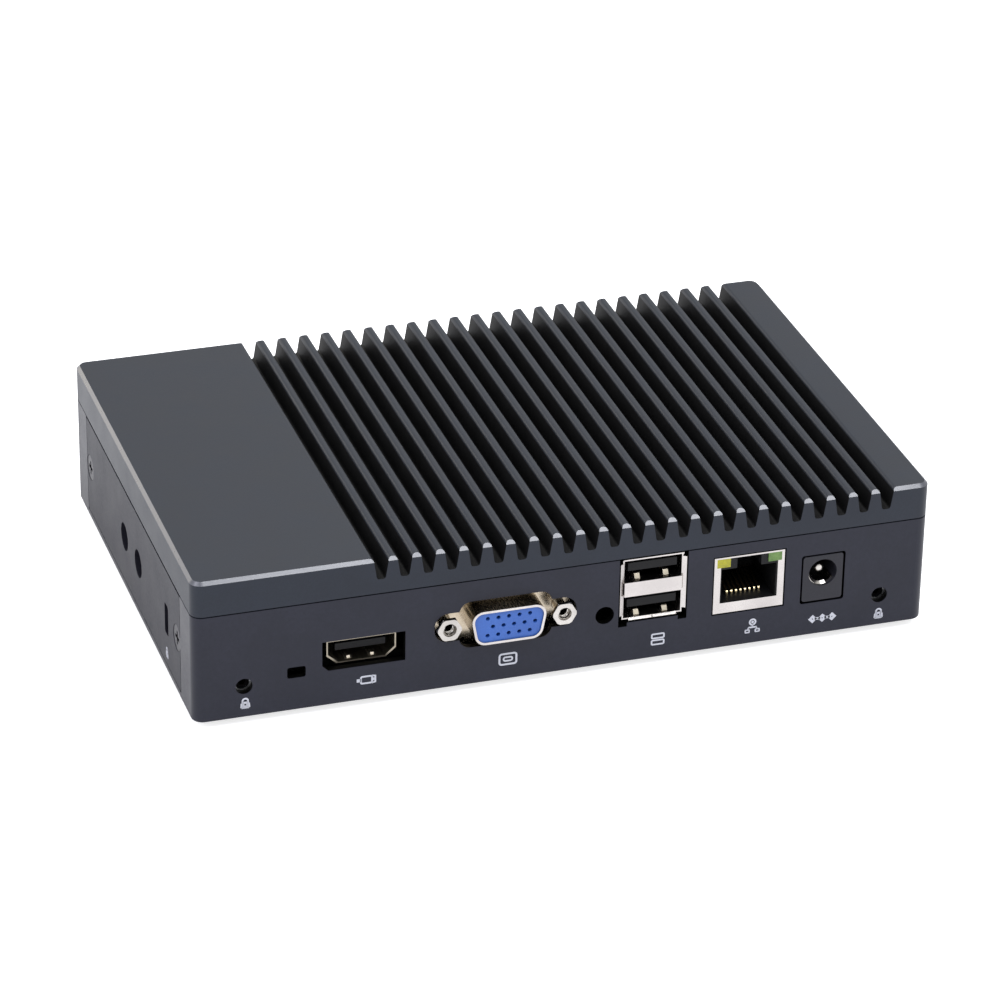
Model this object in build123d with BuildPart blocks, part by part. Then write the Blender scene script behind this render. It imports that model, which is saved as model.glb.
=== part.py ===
from build123d import *
import os
from math import radians, tan

# Fanless counter computer: a finned heat-sink cover on a shallow tub, with every socket
# in the front wall. +X runs to the right seen from the sockets, +Y to the back, +Z up.
# The origin is the middle of the overall box, on the plane that the feet stand on.

os.makedirs("parts", exist_ok=True)

# Case
CASE_WIDTH = 160.8
CASE_DEPTH = 105.7
CASE_HEIGHT = 32.7          # underside of the tub to the fin tips
SEAM_HEIGHT = 24.5          # underside of the tub to the joint with the cover
CORNER_R = 2.5
BOTTOM_R = 0.4
WALL = 1.6                  # front and rear walls, and where they wrap round the corners
FLOOR = 1.8
SOCKET_PROUD = 2.4          # how far the analogue video shell stands out of the front

# Cover
FIN_PITCH = 5.04
LEFT_LAND = 38.3            # flat top to the left of the first groove
RIGHT_LAND = 8.0            # least flat top to the right of the last groove
GROOVE_TOP = 3.15
GROOVE_FLOOR = 1.8
GROOVE_DEPTH = 4.7
GROOVE_FLOOR_R = 0.6
FIN_TIP_R = 0.5
COVER_PLATE = 1.8           # metal left under the grooves
LAND_PLATE = 2.6            # metal left under the flat land
TOP_CHAMFER = 1.0
SHADOW_GAP = 0.35           # dark line round the joint of cover and tub
SHADOW_DEPTH = 0.6
COVER_RIM = 3.2             # solid edge round the hollow underside
LAND_RIB = 2.0              # between the pocket under the land and the first groove
CORNER_BLOCK_X = 12.5
CORNER_BLOCK_Y = 15.2
BLOCK_CLEARANCE = 0.1       # from the walls

# Side panels
PANEL = 1.5
PANEL_WRAP = 10.6           # stretch of the front and rear walls seen on the side
PANEL_SILL = 1.5
PANEL_GAP = 0.25
PANEL_CORNER_R = 0.6
PANEL_SCREW_INSET = 13.5    # from the front and from the back
PANEL_SCREW_HEIGHT = 13.1
ANTENNA_HOLE_R = 3.15
ANTENNA_REAR_Y = 59.9       # from the front face
ANTENNA_FRONT_Y = 47.4
ANTENNA_HEIGHT = 12.6
LOCK_SLOT_Y = 22.4
LOCK_SLOT_WIDTH = 3.0
LOCK_SLOT_HEIGHT = 7.0

# Screws
SCREW_R = 1.45
SCREW_HEAD_R = 2.85
SCREW_CLEARANCE = 0.05
SCREW_SUNK = 0.1
SIDE_SCREW_LENGTH = 5.5
BASE_SCREW_LENGTH = 27.0    # up through a corner block into the cover
BASE_SCREW_X = 8.0          # from the left or right side
BASE_SCREW_Y = 13.0         # from the front or back
LOCK_HOLE_R = 1.8
LOCK_HOLE_LEFT = 10.7       # from the left side
LOCK_HOLE_RIGHT = 10.4      # from the right side
LOCK_HOLE_HEIGHT = 7.35
LOCK_SCREW_LENGTH = 6.0
LOCK_SCREW_DEPTH = 2.2      # tip of the set screw behind the front face
BOARD_SCREW_R = 1.2
BOARD_SCREW_HEAD_R = 2.6
BOARD_SCREW_HEAD = 1.5
BOARD_SCREW_LENGTH = 5.2

# Underside
FOOT_R = 6.0
FOOT_HEIGHT = 1.8           # part of the foot below the tub
FOOT_SEAT = 0.4
FOOT_CLEARANCE = 0.1
FOOT_INSET_X = 18.5
FOOT_INSET_Y = 14.0
FOOT_CHAMFER = 0.5
BASE_PITCH = 75.0           # square pattern for a screen-arm plate
BASE_HOLE_R = 1.65
BASE_BOSS_R = 4.0
BASE_BOSS_HEIGHT = 5.4
BASE_HOLE_DEPTH = 4.6

# Mainboard
BOARD_TOP = 8.2             # over the underside of the tub
BOARD_THICKNESS = 1.6
BOARD_FRONT = 4.5           # front edge behind the front face
BOARD_REAR = 8.2            # rear edge before the rear face
BOARD_SIDE_GAP = 0.6        # from the corner blocks
BOARD_CORNER_R = 1.25
POST_R = 3.0
POST_INSET = 4.7            # from the sides of the board
POST_FRONT = 19.5           # from its front edge
POST_REAR = 7.0             # from its rear edge
POST_HOLE_DEPTH = 4.0

# Places of the sockets along the front, as shares of the case width from the left side.
# The sockets keep their standard sizes.
SLIT_PLACE = 0.1356
DIGITAL_PLACE = 0.2251
ANALOGUE_PLACE = 0.4154
RESET_PLACE = 0.5504
TWIN_PLACE = 0.6165
NETWORK_PLACE = 0.7494
POWER_PLACE = 0.8532

# Digital video socket
DIGITAL_CUT_WIDTH = 17.8
DIGITAL_CUT_HEIGHT = 6.85
DIGITAL_CUT_Z = 11.57
DIGITAL_CUT_CHAMFER = 1.3
DIGITAL_DEPTH = 2.0         # rim behind the front face
DIGITAL_WIDTH = 14.9
DIGITAL_HEIGHT = 5.5
DIGITAL_SHOULDER = 2.2      # sloped lower corners, along X
DIGITAL_SHOULDER_RISE = 1.9
DIGITAL_SHEET = 0.3
DIGITAL_LENGTH = 11.5
DIGITAL_LIFT = 0.3          # shell over the board
DIGITAL_TONGUE_WIDTH = 10.8
DIGITAL_TONGUE_THICKNESS = 1.5
DIGITAL_TONGUE_DROP = 1.1   # under the roof of the shell
DIGITAL_TONGUE_RECESS = 0.9
DIGITAL_BACK_GAP = 1.0      # from the springs to the back of the port

# Analogue video socket
ANALOGUE_Z = 14.3
D_WIDTH = 16.9
D_HEIGHT = 7.9
D_SLOPE = 10.0
D_CORNER_R = 2.4
D_SHEET = 0.4
D_LENGTH = 5.95             # rim to flange
D_FACE_RECESS = 0.35
CONTACT_PITCH = 2.29
CONTACT_ROW = 2.0
CONTACT_R = 0.45
CONTACT_DEPTH = 3.5
FLANGE_WIDTH = 30.8
FLANGE_HEIGHT = 12.5
FLANGE_SHEET = 0.8
FLANGE_CORNER_R = 1.0
NUT_PITCH = 24.99
NUT_WIDTH = 4.8             # across flats
NUT_PROUD = 1.2
NUT_HOLE_R = 1.25
NUT_STUD_R = 1.4
NUT_STUD_LENGTH = 3.4
ANALOGUE_CUT_WIDTH = 20.2
ANALOGUE_CUT_HEIGHT = 10.9
ANALOGUE_CUT_R = 2.6
LOBE_SPAN = 30.9
LOBE_HEIGHT = 6.7
LOBE_R = 3.0
ANALOGUE_BODY_DEPTH = 9.0

# Twin data socket
TWIN_BOTTOM = 9.9
TWIN_HEIGHT = 14.45
TWIN_INSIDE = 12.7
TWIN_SHEET = 0.3
TWIN_LENGTH = 17.5
TWIN_DEPTH = 0.1
TWIN_PORT_HEIGHT = 5.25
TWIN_FLARE = 0.95
TWIN_FLARE_DEPTH = 0.55
TWIN_FLARE_MARGIN = 1.1     # flares stop short of the corners
TWIN_CUT_WIDTH = 15.2
TWIN_CUT_SILL = 0.5         # cut-out below the shell
TWIN_LIP_DROP = 0.35        # flared lip below the shell
TWIN_SEAM = 0.25            # joint of the folded shell, in the middle of that lip
TWIN_NOTCH = 1.95
TWIN_NOTCH_DROP = 0.9
TWIN_TONGUE_WIDTH = 10.8
TWIN_TONGUE_THICKNESS = 1.84
TWIN_TONGUE_DROP = 1.1
TWIN_TONGUE_RECESS = 1.0
TWIN_PORT_DEPTH = 11.5
TWIN_BAND_DEPTH = 8.0
SPRING_WIDTH = 1.6
SPRING_RISE = 0.65
SPRING_FRONT = 1.6
SPRING_LENGTH = 5.0
SPRING_CREST = 0.4          # highest point, as a share of the length
SPRING_PITCH = 6.3
DIGITAL_SPRING_PITCH = 5.1

# Network socket
NETWORK_WIDTH = 15.7
NETWORK_HEIGHT = 13.3
NETWORK_LENGTH = 21.3
NETWORK_DEPTH = 0.1
NETWORK_SHEET = 0.25
NETWORK_LIFT = 0.15         # shell over the board
NETWORK_FRAME_SIDE = 1.45
NETWORK_FRAME_BOTTOM = 2.4
NETWORK_PORT_HEIGHT = 7.9
NETWORK_PORT_DEPTH = 14.0
NETWORK_LATCH_WIDTH = 5.4
NETWORK_LATCH_DEPTH = 11.0
NETWORK_ROOF = 0.35
LIGHT_WIDTH = 3.0
LIGHT_HEIGHT = 2.05
LIGHT_DEPTH = 2.8
LIGHT_INSET = 0.6           # from the side of the shell
WIRE_COUNT = 8
WIRE_PITCH = 1.02
WIRE_WIDTH = 0.4
WIRE_THICKNESS = 0.35
WIRE_FRONT = 3.2
WIRE_REAR = 10.4
WIRE_LOW = 0.9
WIRE_HIGH = 2.5
NETWORK_CUT_GAP = 0.3

# Power jack
POWER_WIDTH = 9.0
POWER_HEIGHT = 10.7
POWER_LENGTH = 14.0
POWER_DEPTH = 0.1
POWER_CORNER_R = 0.6
POWER_CUT_GAP = 0.45
POWER_HOLE_Z = 6.55         # over the board
POWER_HOLE_R = 3.15
POWER_HOLE_DEPTH = 9.5
POWER_PIN_R = 1.0
POWER_PIN_RECESS = 2.0
POWER_PIN_ROUND = 0.6
POWER_SPRING_THICKNESS = 0.25
POWER_SPRING_RECESS = 1.0
POWER_SPRING_OPENING = 1.25 # opening of the curled spring, from the middle of the bore
POWER_SPRING_TILT = -20.0

# Small front openings
SLIT_Z = 8.9
SLIT_WIDTH = 3.95
SLIT_HEIGHT = 2.55
SLIT_R = 0.5
RESET_Z = 11.9
RESET_R = 2.05

# Power button, status light and their parts on the board, at the back
BUTTON_PLACE = 0.3          # share of the case width
BUTTON_Z = 12.5
BUTTON_R = 4.0
BUTTON_CLEARANCE = 0.2
BUTTON_FLANGE_R = 5.2
BUTTON_FLANGE = 1.5
BUTTON_STEM_R = 2.5
BUTTON_DISH = 0.3
BUTTON_DISH_SLOPE = 30
BUTTON_TRAVEL = 0.5
SWITCH_WIDTH = 7.0
SWITCH_DEPTH = 4.5
SWITCH_HEIGHT = 7.6
SWITCH_REAR = 8.7           # before the rear face
PLUNGER_R = 1.75
PLUNGER_CLEARANCE = 0.08
PLUNGER_OUT = 2.6
PLUNGER_IN = 1.3
LIGHT_PITCH = 8.0           # status light to the right of the button
PIPE_R = 1.25
PIPE_CLEARANCE = 0.03
PIPE_FLANGE_R = 2.2
PIPE_FLANGE = 1.0
PIPE_LENGTH = 6.6
STATUS_LIGHT = 3.2
STATUS_LIGHT_HEIGHT = 5.9

# Processor and its path for heat. Places on the board are shares of the case width and
# depth, from the left side and the front face.
CHIP_PLACE = (0.5125, 0.513)
CHIP_WIDTH = 27.0
CHIP_DEPTH = 25.0
CHIP_THICKNESS = 1.2
DIE_WIDTH = 12.0
DIE_DEPTH = 9.0
DIE_THICKNESS = 0.7
THERMAL_PAD_WIDTH = 20.0
THERMAL_PAD = 0.9
BLOCK_WIDTH = 30.0
BLOCK_FLANGE_WIDTH = 46.0
BLOCK_FLANGE = 3.0
BLOCK_SCREW_PITCH = 38.0
BLOCK_SCREW_LENGTH = 5.4
COVER_PAD_WIDTH = 50.0
COVER_PAD = 3.0

# Memory chips in a row behind the processor
MEMORY_PLACE = (0.4875, 0.798)
MEMORY_COUNT = 4
MEMORY_PITCH = 9.5
MEMORY_WIDTH = 8.0
MEMORY_DEPTH = 11.0
MEMORY_THICKNESS = 1.0

# Storage card, its socket, spacer and screw
STORAGE_PLACE = (0.731, 0.618)
STORAGE_WIDTH = 22.0
STORAGE_LENGTH = 42.0
STORAGE_CARD = 0.8
STORAGE_LIFT = 3.4
STORAGE_SLOT_DEPTH = 3.0
STORAGE_BAR_WIDTH = 24.0
STORAGE_BAR_DEPTH = 7.0
STORAGE_BAR_HEIGHT = 5.6
STORAGE_CHIP_WIDTH = 13.0
STORAGE_CHIP_PITCH = 16.0
STORAGE_CHIP_SHIFT = 1.5    # towards the socket
STORAGE_CHIP_THICKNESS = 1.2
CARD_CLEARANCE = 0.1
SPACER_R = 2.4
SPACER_INSET = 3.0
STORAGE_SCREW_R = 1.0
STORAGE_SCREW_HEAD_R = 2.2
STORAGE_SCREW_HEAD = 1.2

# Other parts on the board
CELL_PLACE = (0.225, 0.665)
CELL_R = 10.0
CELL_THICKNESS = 3.2
CELL_CHAMFER = 0.4
CELL_CLEARANCE = 0.15
HOLDER_R = 11.5
HOLDER_FLOOR = 0.8
HOLDER_HEIGHT = 4.4
CHOKE_PLACE = (0.5125, 0.2567)
CHOKE_WIDTH = 7.0
CHOKE_CORNER_R = 1.0
CHOKE_HEIGHT = 4.2
CHOKE_PITCH = 10.0
CHOKE_COUNT = 4
CAPACITOR_PLACE = (0.275, 0.2567)
CAPACITOR_R = 3.15
CAPACITOR_HEIGHT = 8.0
CAPACITOR_PITCH = 8.0
CAPACITOR_COUNT = 3
CONTROLLER_PLACE = (0.3125, 0.4563)
CONTROLLER_WIDTH = 11.0
CONTROLLER_THICKNESS = 1.0
TRANSFORMER_WIDTH = 17.0
TRANSFORMER_DEPTH = 7.0
TRANSFORMER_HEIGHT = 4.5
TRANSFORMER_GAP = 1.6       # behind the network socket

# Levels and edges that follow from the sizes above
UNDERSIDE_Z = FOOT_HEIGHT
FLOOR_Z = UNDERSIDE_Z + FLOOR
SEAM_Z = UNDERSIDE_Z + SEAM_HEIGHT
TOP_Z = UNDERSIDE_Z + CASE_HEIGHT
CEILING_Z = TOP_Z - GROOVE_DEPTH - COVER_PLATE
BOARD_Z = UNDERSIDE_Z + BOARD_TOP
LEFT_X = -CASE_WIDTH / 2
FRONT_Y = (SOCKET_PROUD - CASE_DEPTH) / 2
MID_Y = FRONT_Y + CASE_DEPTH / 2
REAR_Y = FRONT_Y + CASE_DEPTH
HOLE_R = SCREW_R + SCREW_CLEARANCE
SINK_R = SCREW_HEAD_R + SCREW_CLEARANCE + SCREW_SUNK
LAND_POCKET = LEFT_LAND - COVER_RIM - LAND_RIB
GROOVE_COUNT = 1 + int((CASE_WIDTH - LEFT_LAND - RIGHT_LAND - GROOVE_TOP) / FIN_PITCH)
BOARD_INSET = WALL + BLOCK_CLEARANCE + CORNER_BLOCK_X + BOARD_SIDE_GAP
BOARD_REAR_Y = REAR_Y - BOARD_REAR


def right_of(distance):
    """X of a point this far from the left side of the case."""
    return LEFT_X + distance


def behind(distance):
    """Y of a point this far behind the front face of the case."""
    return FRONT_Y + distance


def across(share):
    """X at this share of the case width, from the left side."""
    return LEFT_X + share * CASE_WIDTH


def on_board(place):
    """Point over the board at these shares of the case width and depth."""
    return (across(place[0]), FRONT_Y + place[1] * CASE_DEPTH)


def front_plane(depth=0.0):
    """Upright plane this far behind the front face, seen from the front."""
    return Plane.XZ.offset(-behind(depth))


def corners(inset_x, inset_y):
    """The four points at these insets from the sides, front and back of the case."""
    reach_x = CASE_WIDTH / 2 - inset_x
    reach_y = CASE_DEPTH / 2 - inset_y
    return [(sx * reach_x, MID_Y + sy * reach_y) for sx in (-1, 1) for sy in (-1, 1)]


def flat_screw(length):
    """Countersunk screw, its head's flat face up at the origin."""
    with BuildPart() as screw:
        with BuildSketch(Plane.XZ):
            with BuildLine():
                cone = SCREW_HEAD_R - SCREW_R
                Polyline((0, 0), (SCREW_HEAD_R, 0), (SCREW_R, -cone),
                         (SCREW_R, -length), (0, -length), close=True)
            make_face()
        revolve(axis=Axis.Z)
    return screw.part


def pan_screw(shank_r, head_r, head, length):
    """Screw with a low round head that sits on the origin's plane."""
    with BuildPart() as screw:
        Cylinder(shank_r, length, align=(Align.CENTER, Align.CENTER, Align.MAX))
        Cylinder(head_r, head, align=(Align.CENTER, Align.CENTER, Align.MIN))
        chamfer(screw.edges().group_by(Axis.Z)[-1], head / 3)
    return screw.part


def outward(point, direction):
    """Plane at a point of a wall, facing out along the direction."""
    return Plane(origin=point, z_dir=direction)


base_screw_spots = [outward((x, y, UNDERSIDE_Z), (0, 0, -1))
                    for x, y in corners(BASE_SCREW_X, BASE_SCREW_Y)]
side_screw_spots = [outward((x, y, UNDERSIDE_Z + PANEL_SCREW_HEIGHT), (x, 0, 0))
                    for x, y in corners(0, PANEL_SCREW_INSET)]
left_screw_spots = side_screw_spots[:2]
right_screw_spots = side_screw_spots[2:]
lock_spots = [outward((x, FRONT_Y, UNDERSIDE_Z + LOCK_HOLE_HEIGHT), (0, -1, 0))
              for x in (right_of(LOCK_HOLE_LEFT), -LEFT_X - LOCK_HOLE_RIGHT)]
post_x = CASE_WIDTH / 2 - BOARD_INSET - POST_INSET
post_spots = [(x, y) for x in (-post_x, post_x)
              for y in (behind(BOARD_FRONT + POST_FRONT), BOARD_REAR_Y - POST_REAR)]
chip_spot = on_board(CHIP_PLACE)
block_spots = [(chip_spot[0] + sx * BLOCK_SCREW_PITCH / 2, chip_spot[1] + sy * BLOCK_SCREW_PITCH / 2)
               for sx in (-1, 1) for sy in (-1, 1)]
corner_spots = corners(WALL + BLOCK_CLEARANCE + CORNER_BLOCK_X / 2,
                       WALL + BLOCK_CLEARANCE + CORNER_BLOCK_Y / 2)
antenna_spots = [(behind(ANTENNA_REAR_Y), UNDERSIDE_Z + ANTENNA_HEIGHT),
                 (behind(ANTENNA_FRONT_Y), UNDERSIDE_Z + ANTENNA_HEIGHT)]
lock_slot_spot = (behind(LOCK_SLOT_Y), UNDERSIDE_Z + ANTENNA_HEIGHT)

# Finned cover. Each groove has sloped walls, round floor corners and rounded fin tips,
# and runs right through from front to back.
with BuildSketch(Plane.XY) as groove_profile:
    half_top = GROOVE_TOP / 2
    half_floor = GROOVE_FLOOR / 2
    lead = TOP_CHAMFER
    with BuildLine():
        Line((-half_floor, -GROOVE_DEPTH), (half_floor, -GROOVE_DEPTH))
        for side in (-1, 1):
            Line((side * half_floor, -GROOVE_DEPTH), (side * half_top, -FIN_TIP_R))
            CenterArc((side * (half_top + FIN_TIP_R), -FIN_TIP_R), FIN_TIP_R,
                      90, side * 90)
            Line((side * (half_top + FIN_TIP_R), 0), (side * (half_top + FIN_TIP_R), lead))
        Line((-half_top - FIN_TIP_R, lead), (half_top + FIN_TIP_R, lead))
    make_face()
    fillet(groove_profile.vertices().group_by(Axis.Y)[0], GROOVE_FLOOR_R)

with BuildPart() as heatsink_cover:
    with BuildSketch(Plane.XY.offset(SEAM_Z)):
        with Locations((0, MID_Y)):
            RectangleRounded(CASE_WIDTH, CASE_DEPTH, CORNER_R)
    extrude(amount=CASE_HEIGHT - SEAM_HEIGHT)
    chamfer(heatsink_cover.faces().sort_by(Axis.Z)[-1].edges(), TOP_CHAMFER)
    # Hollow underside, solid at the corners where the base screws end
    with BuildSketch(Plane.XY.offset(SEAM_Z)):
        with Locations((0, MID_Y)):
            Rectangle(CASE_WIDTH - 2 * COVER_RIM, CASE_DEPTH - 2 * COVER_RIM)
        with Locations(*corner_spots):
            Rectangle(CORNER_BLOCK_X, CORNER_BLOCK_Y, mode=Mode.SUBTRACT)
    extrude(amount=CEILING_Z - SEAM_Z, mode=Mode.SUBTRACT)
    with BuildSketch(Plane.XY.offset(SEAM_Z)):
        with Locations((right_of(COVER_RIM + LAND_POCKET / 2), MID_Y)):
            Rectangle(LAND_POCKET, CASE_DEPTH - 2 * COVER_RIM)
        with Locations(*corner_spots):
            Rectangle(CORNER_BLOCK_X, CORNER_BLOCK_Y, mode=Mode.SUBTRACT)
    extrude(amount=TOP_Z - LAND_PLATE - SEAM_Z, mode=Mode.SUBTRACT)
    with BuildSketch(Plane.XY.offset(SEAM_Z)):
        with Locations((0, MID_Y)):
            RectangleRounded(CASE_WIDTH, CASE_DEPTH, CORNER_R)
            RectangleRounded(CASE_WIDTH - 2 * SHADOW_DEPTH, CASE_DEPTH - 2 * SHADOW_DEPTH,
                             CORNER_R - SHADOW_DEPTH, mode=Mode.SUBTRACT)
    extrude(amount=SHADOW_GAP, mode=Mode.SUBTRACT)
    with BuildSketch(front_plane()):
        first_groove = right_of(LEFT_LAND + GROOVE_TOP / 2)
        with Locations((first_groove + (GROOVE_COUNT - 1) * FIN_PITCH / 2, TOP_Z)):
            with GridLocations(FIN_PITCH, 0, GROOVE_COUNT, 1):
                add(groove_profile.sketch)
    extrude(amount=-CASE_DEPTH, mode=Mode.SUBTRACT)
    with BuildSketch(Plane.XY.offset(CEILING_Z)):
        with Locations(chip_spot):
            RectangleRounded(COVER_PAD_WIDTH, COVER_PAD_WIDTH, CORNER_R)
    extrude(amount=-COVER_PAD)
    with Locations(*[outward((x, y, SEAM_Z), (0, 0, -1)) for x, y in corners(BASE_SCREW_X, BASE_SCREW_Y)]):
        Hole(HOLE_R, UNDERSIDE_Z + SCREW_SUNK + BASE_SCREW_LENGTH + SCREW_CLEARANCE - SEAM_Z)
    with Locations(*[outward((x, y, CEILING_Z - COVER_PAD), (0, 0, -1)) for x, y in block_spots]):
        Hole(BOARD_SCREW_R + SCREW_CLEARANCE, COVER_PAD)
heatsink_cover.part.label = "heatsink_cover"

# Blocks in the four corners. They carry the cover, and every case screw ends in or goes
# through one of them.
with BuildPart() as corner_blocks:
    with BuildSketch(Plane.XY.offset(FLOOR_Z)):
        with Locations(*corner_spots):
            Rectangle(CORNER_BLOCK_X, CORNER_BLOCK_Y)
    extrude(amount=SEAM_Z - FLOOR_Z)
    with Locations(*base_screw_spots):
        Hole(HOLE_R, SEAM_HEIGHT)
    with Locations(*side_screw_spots):
        Hole(HOLE_R, SIDE_SCREW_LENGTH + SCREW_SUNK + SCREW_CLEARANCE)
    with Locations(*lock_spots):
        Hole(HOLE_R, LOCK_SCREW_DEPTH + LOCK_SCREW_LENGTH + SCREW_CLEARANCE)
corner_blocks.part.label = "corner_blocks"

# Tub: floor, and front and rear walls that wrap round the corners. Between the wraps the
# sides are open, and the flush side panels close them.
button_x = across(BUTTON_PLACE)
pipe_x = button_x + LIGHT_PITCH
recess_length = CASE_DEPTH - 2 * PANEL_WRAP
recess_height = SEAM_HEIGHT - PANEL_SILL
with BuildPart() as lower_case:
    with BuildSketch(Plane.XY.offset(UNDERSIDE_Z)):
        with Locations((0, MID_Y)):
            RectangleRounded(CASE_WIDTH, CASE_DEPTH, CORNER_R)
    extrude(amount=SEAM_HEIGHT)
    fillet(lower_case.faces().sort_by(Axis.Z)[0].edges(), BOTTOM_R)
    with BuildSketch(Plane.XY.offset(FLOOR_Z)):
        with Locations((0, MID_Y)):
            Rectangle(CASE_WIDTH - 2 * WALL, CASE_DEPTH - 2 * WALL)
    extrude(amount=SEAM_HEIGHT, mode=Mode.SUBTRACT)
    with BuildSketch(Plane.XY.offset(UNDERSIDE_Z + PANEL_SILL)):
        with Locations(*[(side * (CASE_WIDTH - WALL) / 2, MID_Y) for side in (-1, 1)]):
            Rectangle(WALL, recess_length)
    extrude(amount=recess_height, mode=Mode.SUBTRACT)
    # Posts under the mainboard and bosses for the square pattern of the underside
    with BuildSketch(Plane.XY.offset(FLOOR_Z)):
        with Locations(*post_spots):
            Circle(POST_R)
    extrude(amount=BOARD_Z - BOARD_THICKNESS - FLOOR_Z)
    with BuildSketch(Plane.XY.offset(FLOOR_Z)):
        with Locations((0, MID_Y)):
            with GridLocations(BASE_PITCH, BASE_PITCH, 2, 2):
                Circle(BASE_BOSS_R)
    extrude(amount=BASE_BOSS_HEIGHT - FLOOR)
    with Locations(*[outward((x, y, BOARD_Z - BOARD_THICKNESS), (0, 0, 1)) for x, y in post_spots]):
        Hole(BOARD_SCREW_R + SCREW_CLEARANCE, POST_HOLE_DEPTH)
    with Locations(outward((0, MID_Y, UNDERSIDE_Z), (0, 0, -1))):
        with GridLocations(BASE_PITCH, BASE_PITCH, 2, 2):
            Hole(BASE_HOLE_R, BASE_HOLE_DEPTH)
    with BuildSketch(Plane.XY.offset(UNDERSIDE_Z)):
        with Locations(*corners(FOOT_INSET_X, FOOT_INSET_Y)):
            Circle(FOOT_R + FOOT_CLEARANCE)
    extrude(amount=FOOT_SEAT, mode=Mode.SUBTRACT)
    with Locations(*base_screw_spots):
        CounterSinkHole(HOLE_R, SINK_R, FLOOR, 90)
    # Front wall
    with Locations(*lock_spots):
        Hole(LOCK_HOLE_R, WALL)
    with BuildSketch(front_plane()):
        with Locations((across(SLIT_PLACE), UNDERSIDE_Z + SLIT_Z)):
            RectangleRounded(SLIT_WIDTH, SLIT_HEIGHT, SLIT_R)
        with Locations((across(RESET_PLACE), UNDERSIDE_Z + RESET_Z)):
            Circle(RESET_R)
    extrude(amount=-WALL, mode=Mode.SUBTRACT)
    with BuildSketch(front_plane()) as digital_cut:
        with Locations((across(DIGITAL_PLACE), UNDERSIDE_Z + DIGITAL_CUT_Z)):
            Rectangle(DIGITAL_CUT_WIDTH, DIGITAL_CUT_HEIGHT)
        low_corner = digital_cut.vertices().group_by(Axis.Y)[0].sort_by(Axis.X)[0]
        chamfer(low_corner, DIGITAL_CUT_CHAMFER)
    extrude(amount=-WALL, mode=Mode.SUBTRACT)
    with BuildSketch(front_plane()):
        with Locations((across(ANALOGUE_PLACE), UNDERSIDE_Z + ANALOGUE_Z)):
            RectangleRounded(ANALOGUE_CUT_WIDTH, ANALOGUE_CUT_HEIGHT, ANALOGUE_CUT_R)
            RectangleRounded(LOBE_SPAN, LOBE_HEIGHT, LOBE_R)
    extrude(amount=-WALL, mode=Mode.SUBTRACT)
    with BuildSketch(front_plane()):
        sill = UNDERSIDE_Z + TWIN_BOTTOM - TWIN_CUT_SILL
        with Locations((across(TWIN_PLACE), sill)):
            Rectangle(TWIN_CUT_WIDTH, SEAM_Z - sill, align=(Align.CENTER, Align.MIN))
        notch_reach = (TWIN_CUT_WIDTH - TWIN_NOTCH) / 2
        with Locations(*[(across(TWIN_PLACE) + side * notch_reach, sill) for side in (-1, 1)]):
            Rectangle(TWIN_NOTCH, 2 * TWIN_NOTCH_DROP)
    extrude(amount=-WALL, mode=Mode.SUBTRACT)
    with BuildSketch(front_plane()):
        network_mid = BOARD_Z + NETWORK_LIFT + NETWORK_HEIGHT / 2
        with Locations((across(NETWORK_PLACE), network_mid)):
            Rectangle(NETWORK_WIDTH + 2 * NETWORK_CUT_GAP, NETWORK_HEIGHT + 2 * NETWORK_CUT_GAP)
        with Locations((across(POWER_PLACE), BOARD_Z + POWER_HEIGHT / 2)):
            RectangleRounded(POWER_WIDTH + 2 * POWER_CUT_GAP, POWER_HEIGHT + 2 * POWER_CUT_GAP,
                             POWER_CORNER_R)
    extrude(amount=-WALL, mode=Mode.SUBTRACT)
    # Rear wall
    with Locations(outward((button_x, REAR_Y, UNDERSIDE_Z + BUTTON_Z), (0, 1, 0))):
        Hole(BUTTON_R + BUTTON_CLEARANCE, WALL)
    with Locations(outward((pipe_x, REAR_Y, UNDERSIDE_Z + BUTTON_Z), (0, 1, 0))):
        Hole(PIPE_R + PIPE_CLEARANCE, WALL)
lower_case.part.label = "lower_case"

# Flush side panels. Only the left one has the antenna holes and the lock slot.
panel_length = recess_length - 2 * PANEL_GAP
panel_height = recess_height - 2 * PANEL_GAP
panel_mid = UNDERSIDE_Z + PANEL_SILL + recess_height / 2
with BuildPart() as left_side_panel:
    with BuildSketch(Plane.YZ.offset(LEFT_X)):
        with Locations((MID_Y, panel_mid)):
            RectangleRounded(panel_length, panel_height, PANEL_CORNER_R)
        with Locations(*antenna_spots):
            Circle(ANTENNA_HOLE_R, mode=Mode.SUBTRACT)
        with Locations(lock_slot_spot):
            RectangleRounded(LOCK_SLOT_WIDTH, LOCK_SLOT_HEIGHT, PANEL_CORNER_R, mode=Mode.SUBTRACT)
    extrude(amount=PANEL)
    with Locations(*left_screw_spots):
        CounterSinkHole(HOLE_R, SINK_R, PANEL, 90)
left_side_panel.part.label = "left_side_panel"

with BuildPart() as right_side_panel:
    with BuildSketch(Plane.YZ.offset(-LEFT_X)):
        with Locations((MID_Y, panel_mid)):
            RectangleRounded(panel_length, panel_height, PANEL_CORNER_R)
    extrude(amount=-PANEL)
    with Locations(*right_screw_spots):
        CounterSinkHole(HOLE_R, SINK_R, PANEL, 90)
right_side_panel.part.label = "right_side_panel"


def sunk(spots, depth):
    """The same planes, moved into the wall by this depth."""
    return [spot.offset(-depth) for spot in spots]


side_screw = flat_screw(SIDE_SCREW_LENGTH)
with BuildPart() as side_panel_screws:
    with Locations(*sunk(side_screw_spots, SCREW_SUNK)):
        add(side_screw)
side_panel_screws.part.label = "side_panel_screws"

base_screw = flat_screw(BASE_SCREW_LENGTH)
with BuildPart() as base_screws:
    with Locations(*sunk(base_screw_spots, SCREW_SUNK)):
        add(base_screw)
base_screws.part.label = "base_screws"

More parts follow.
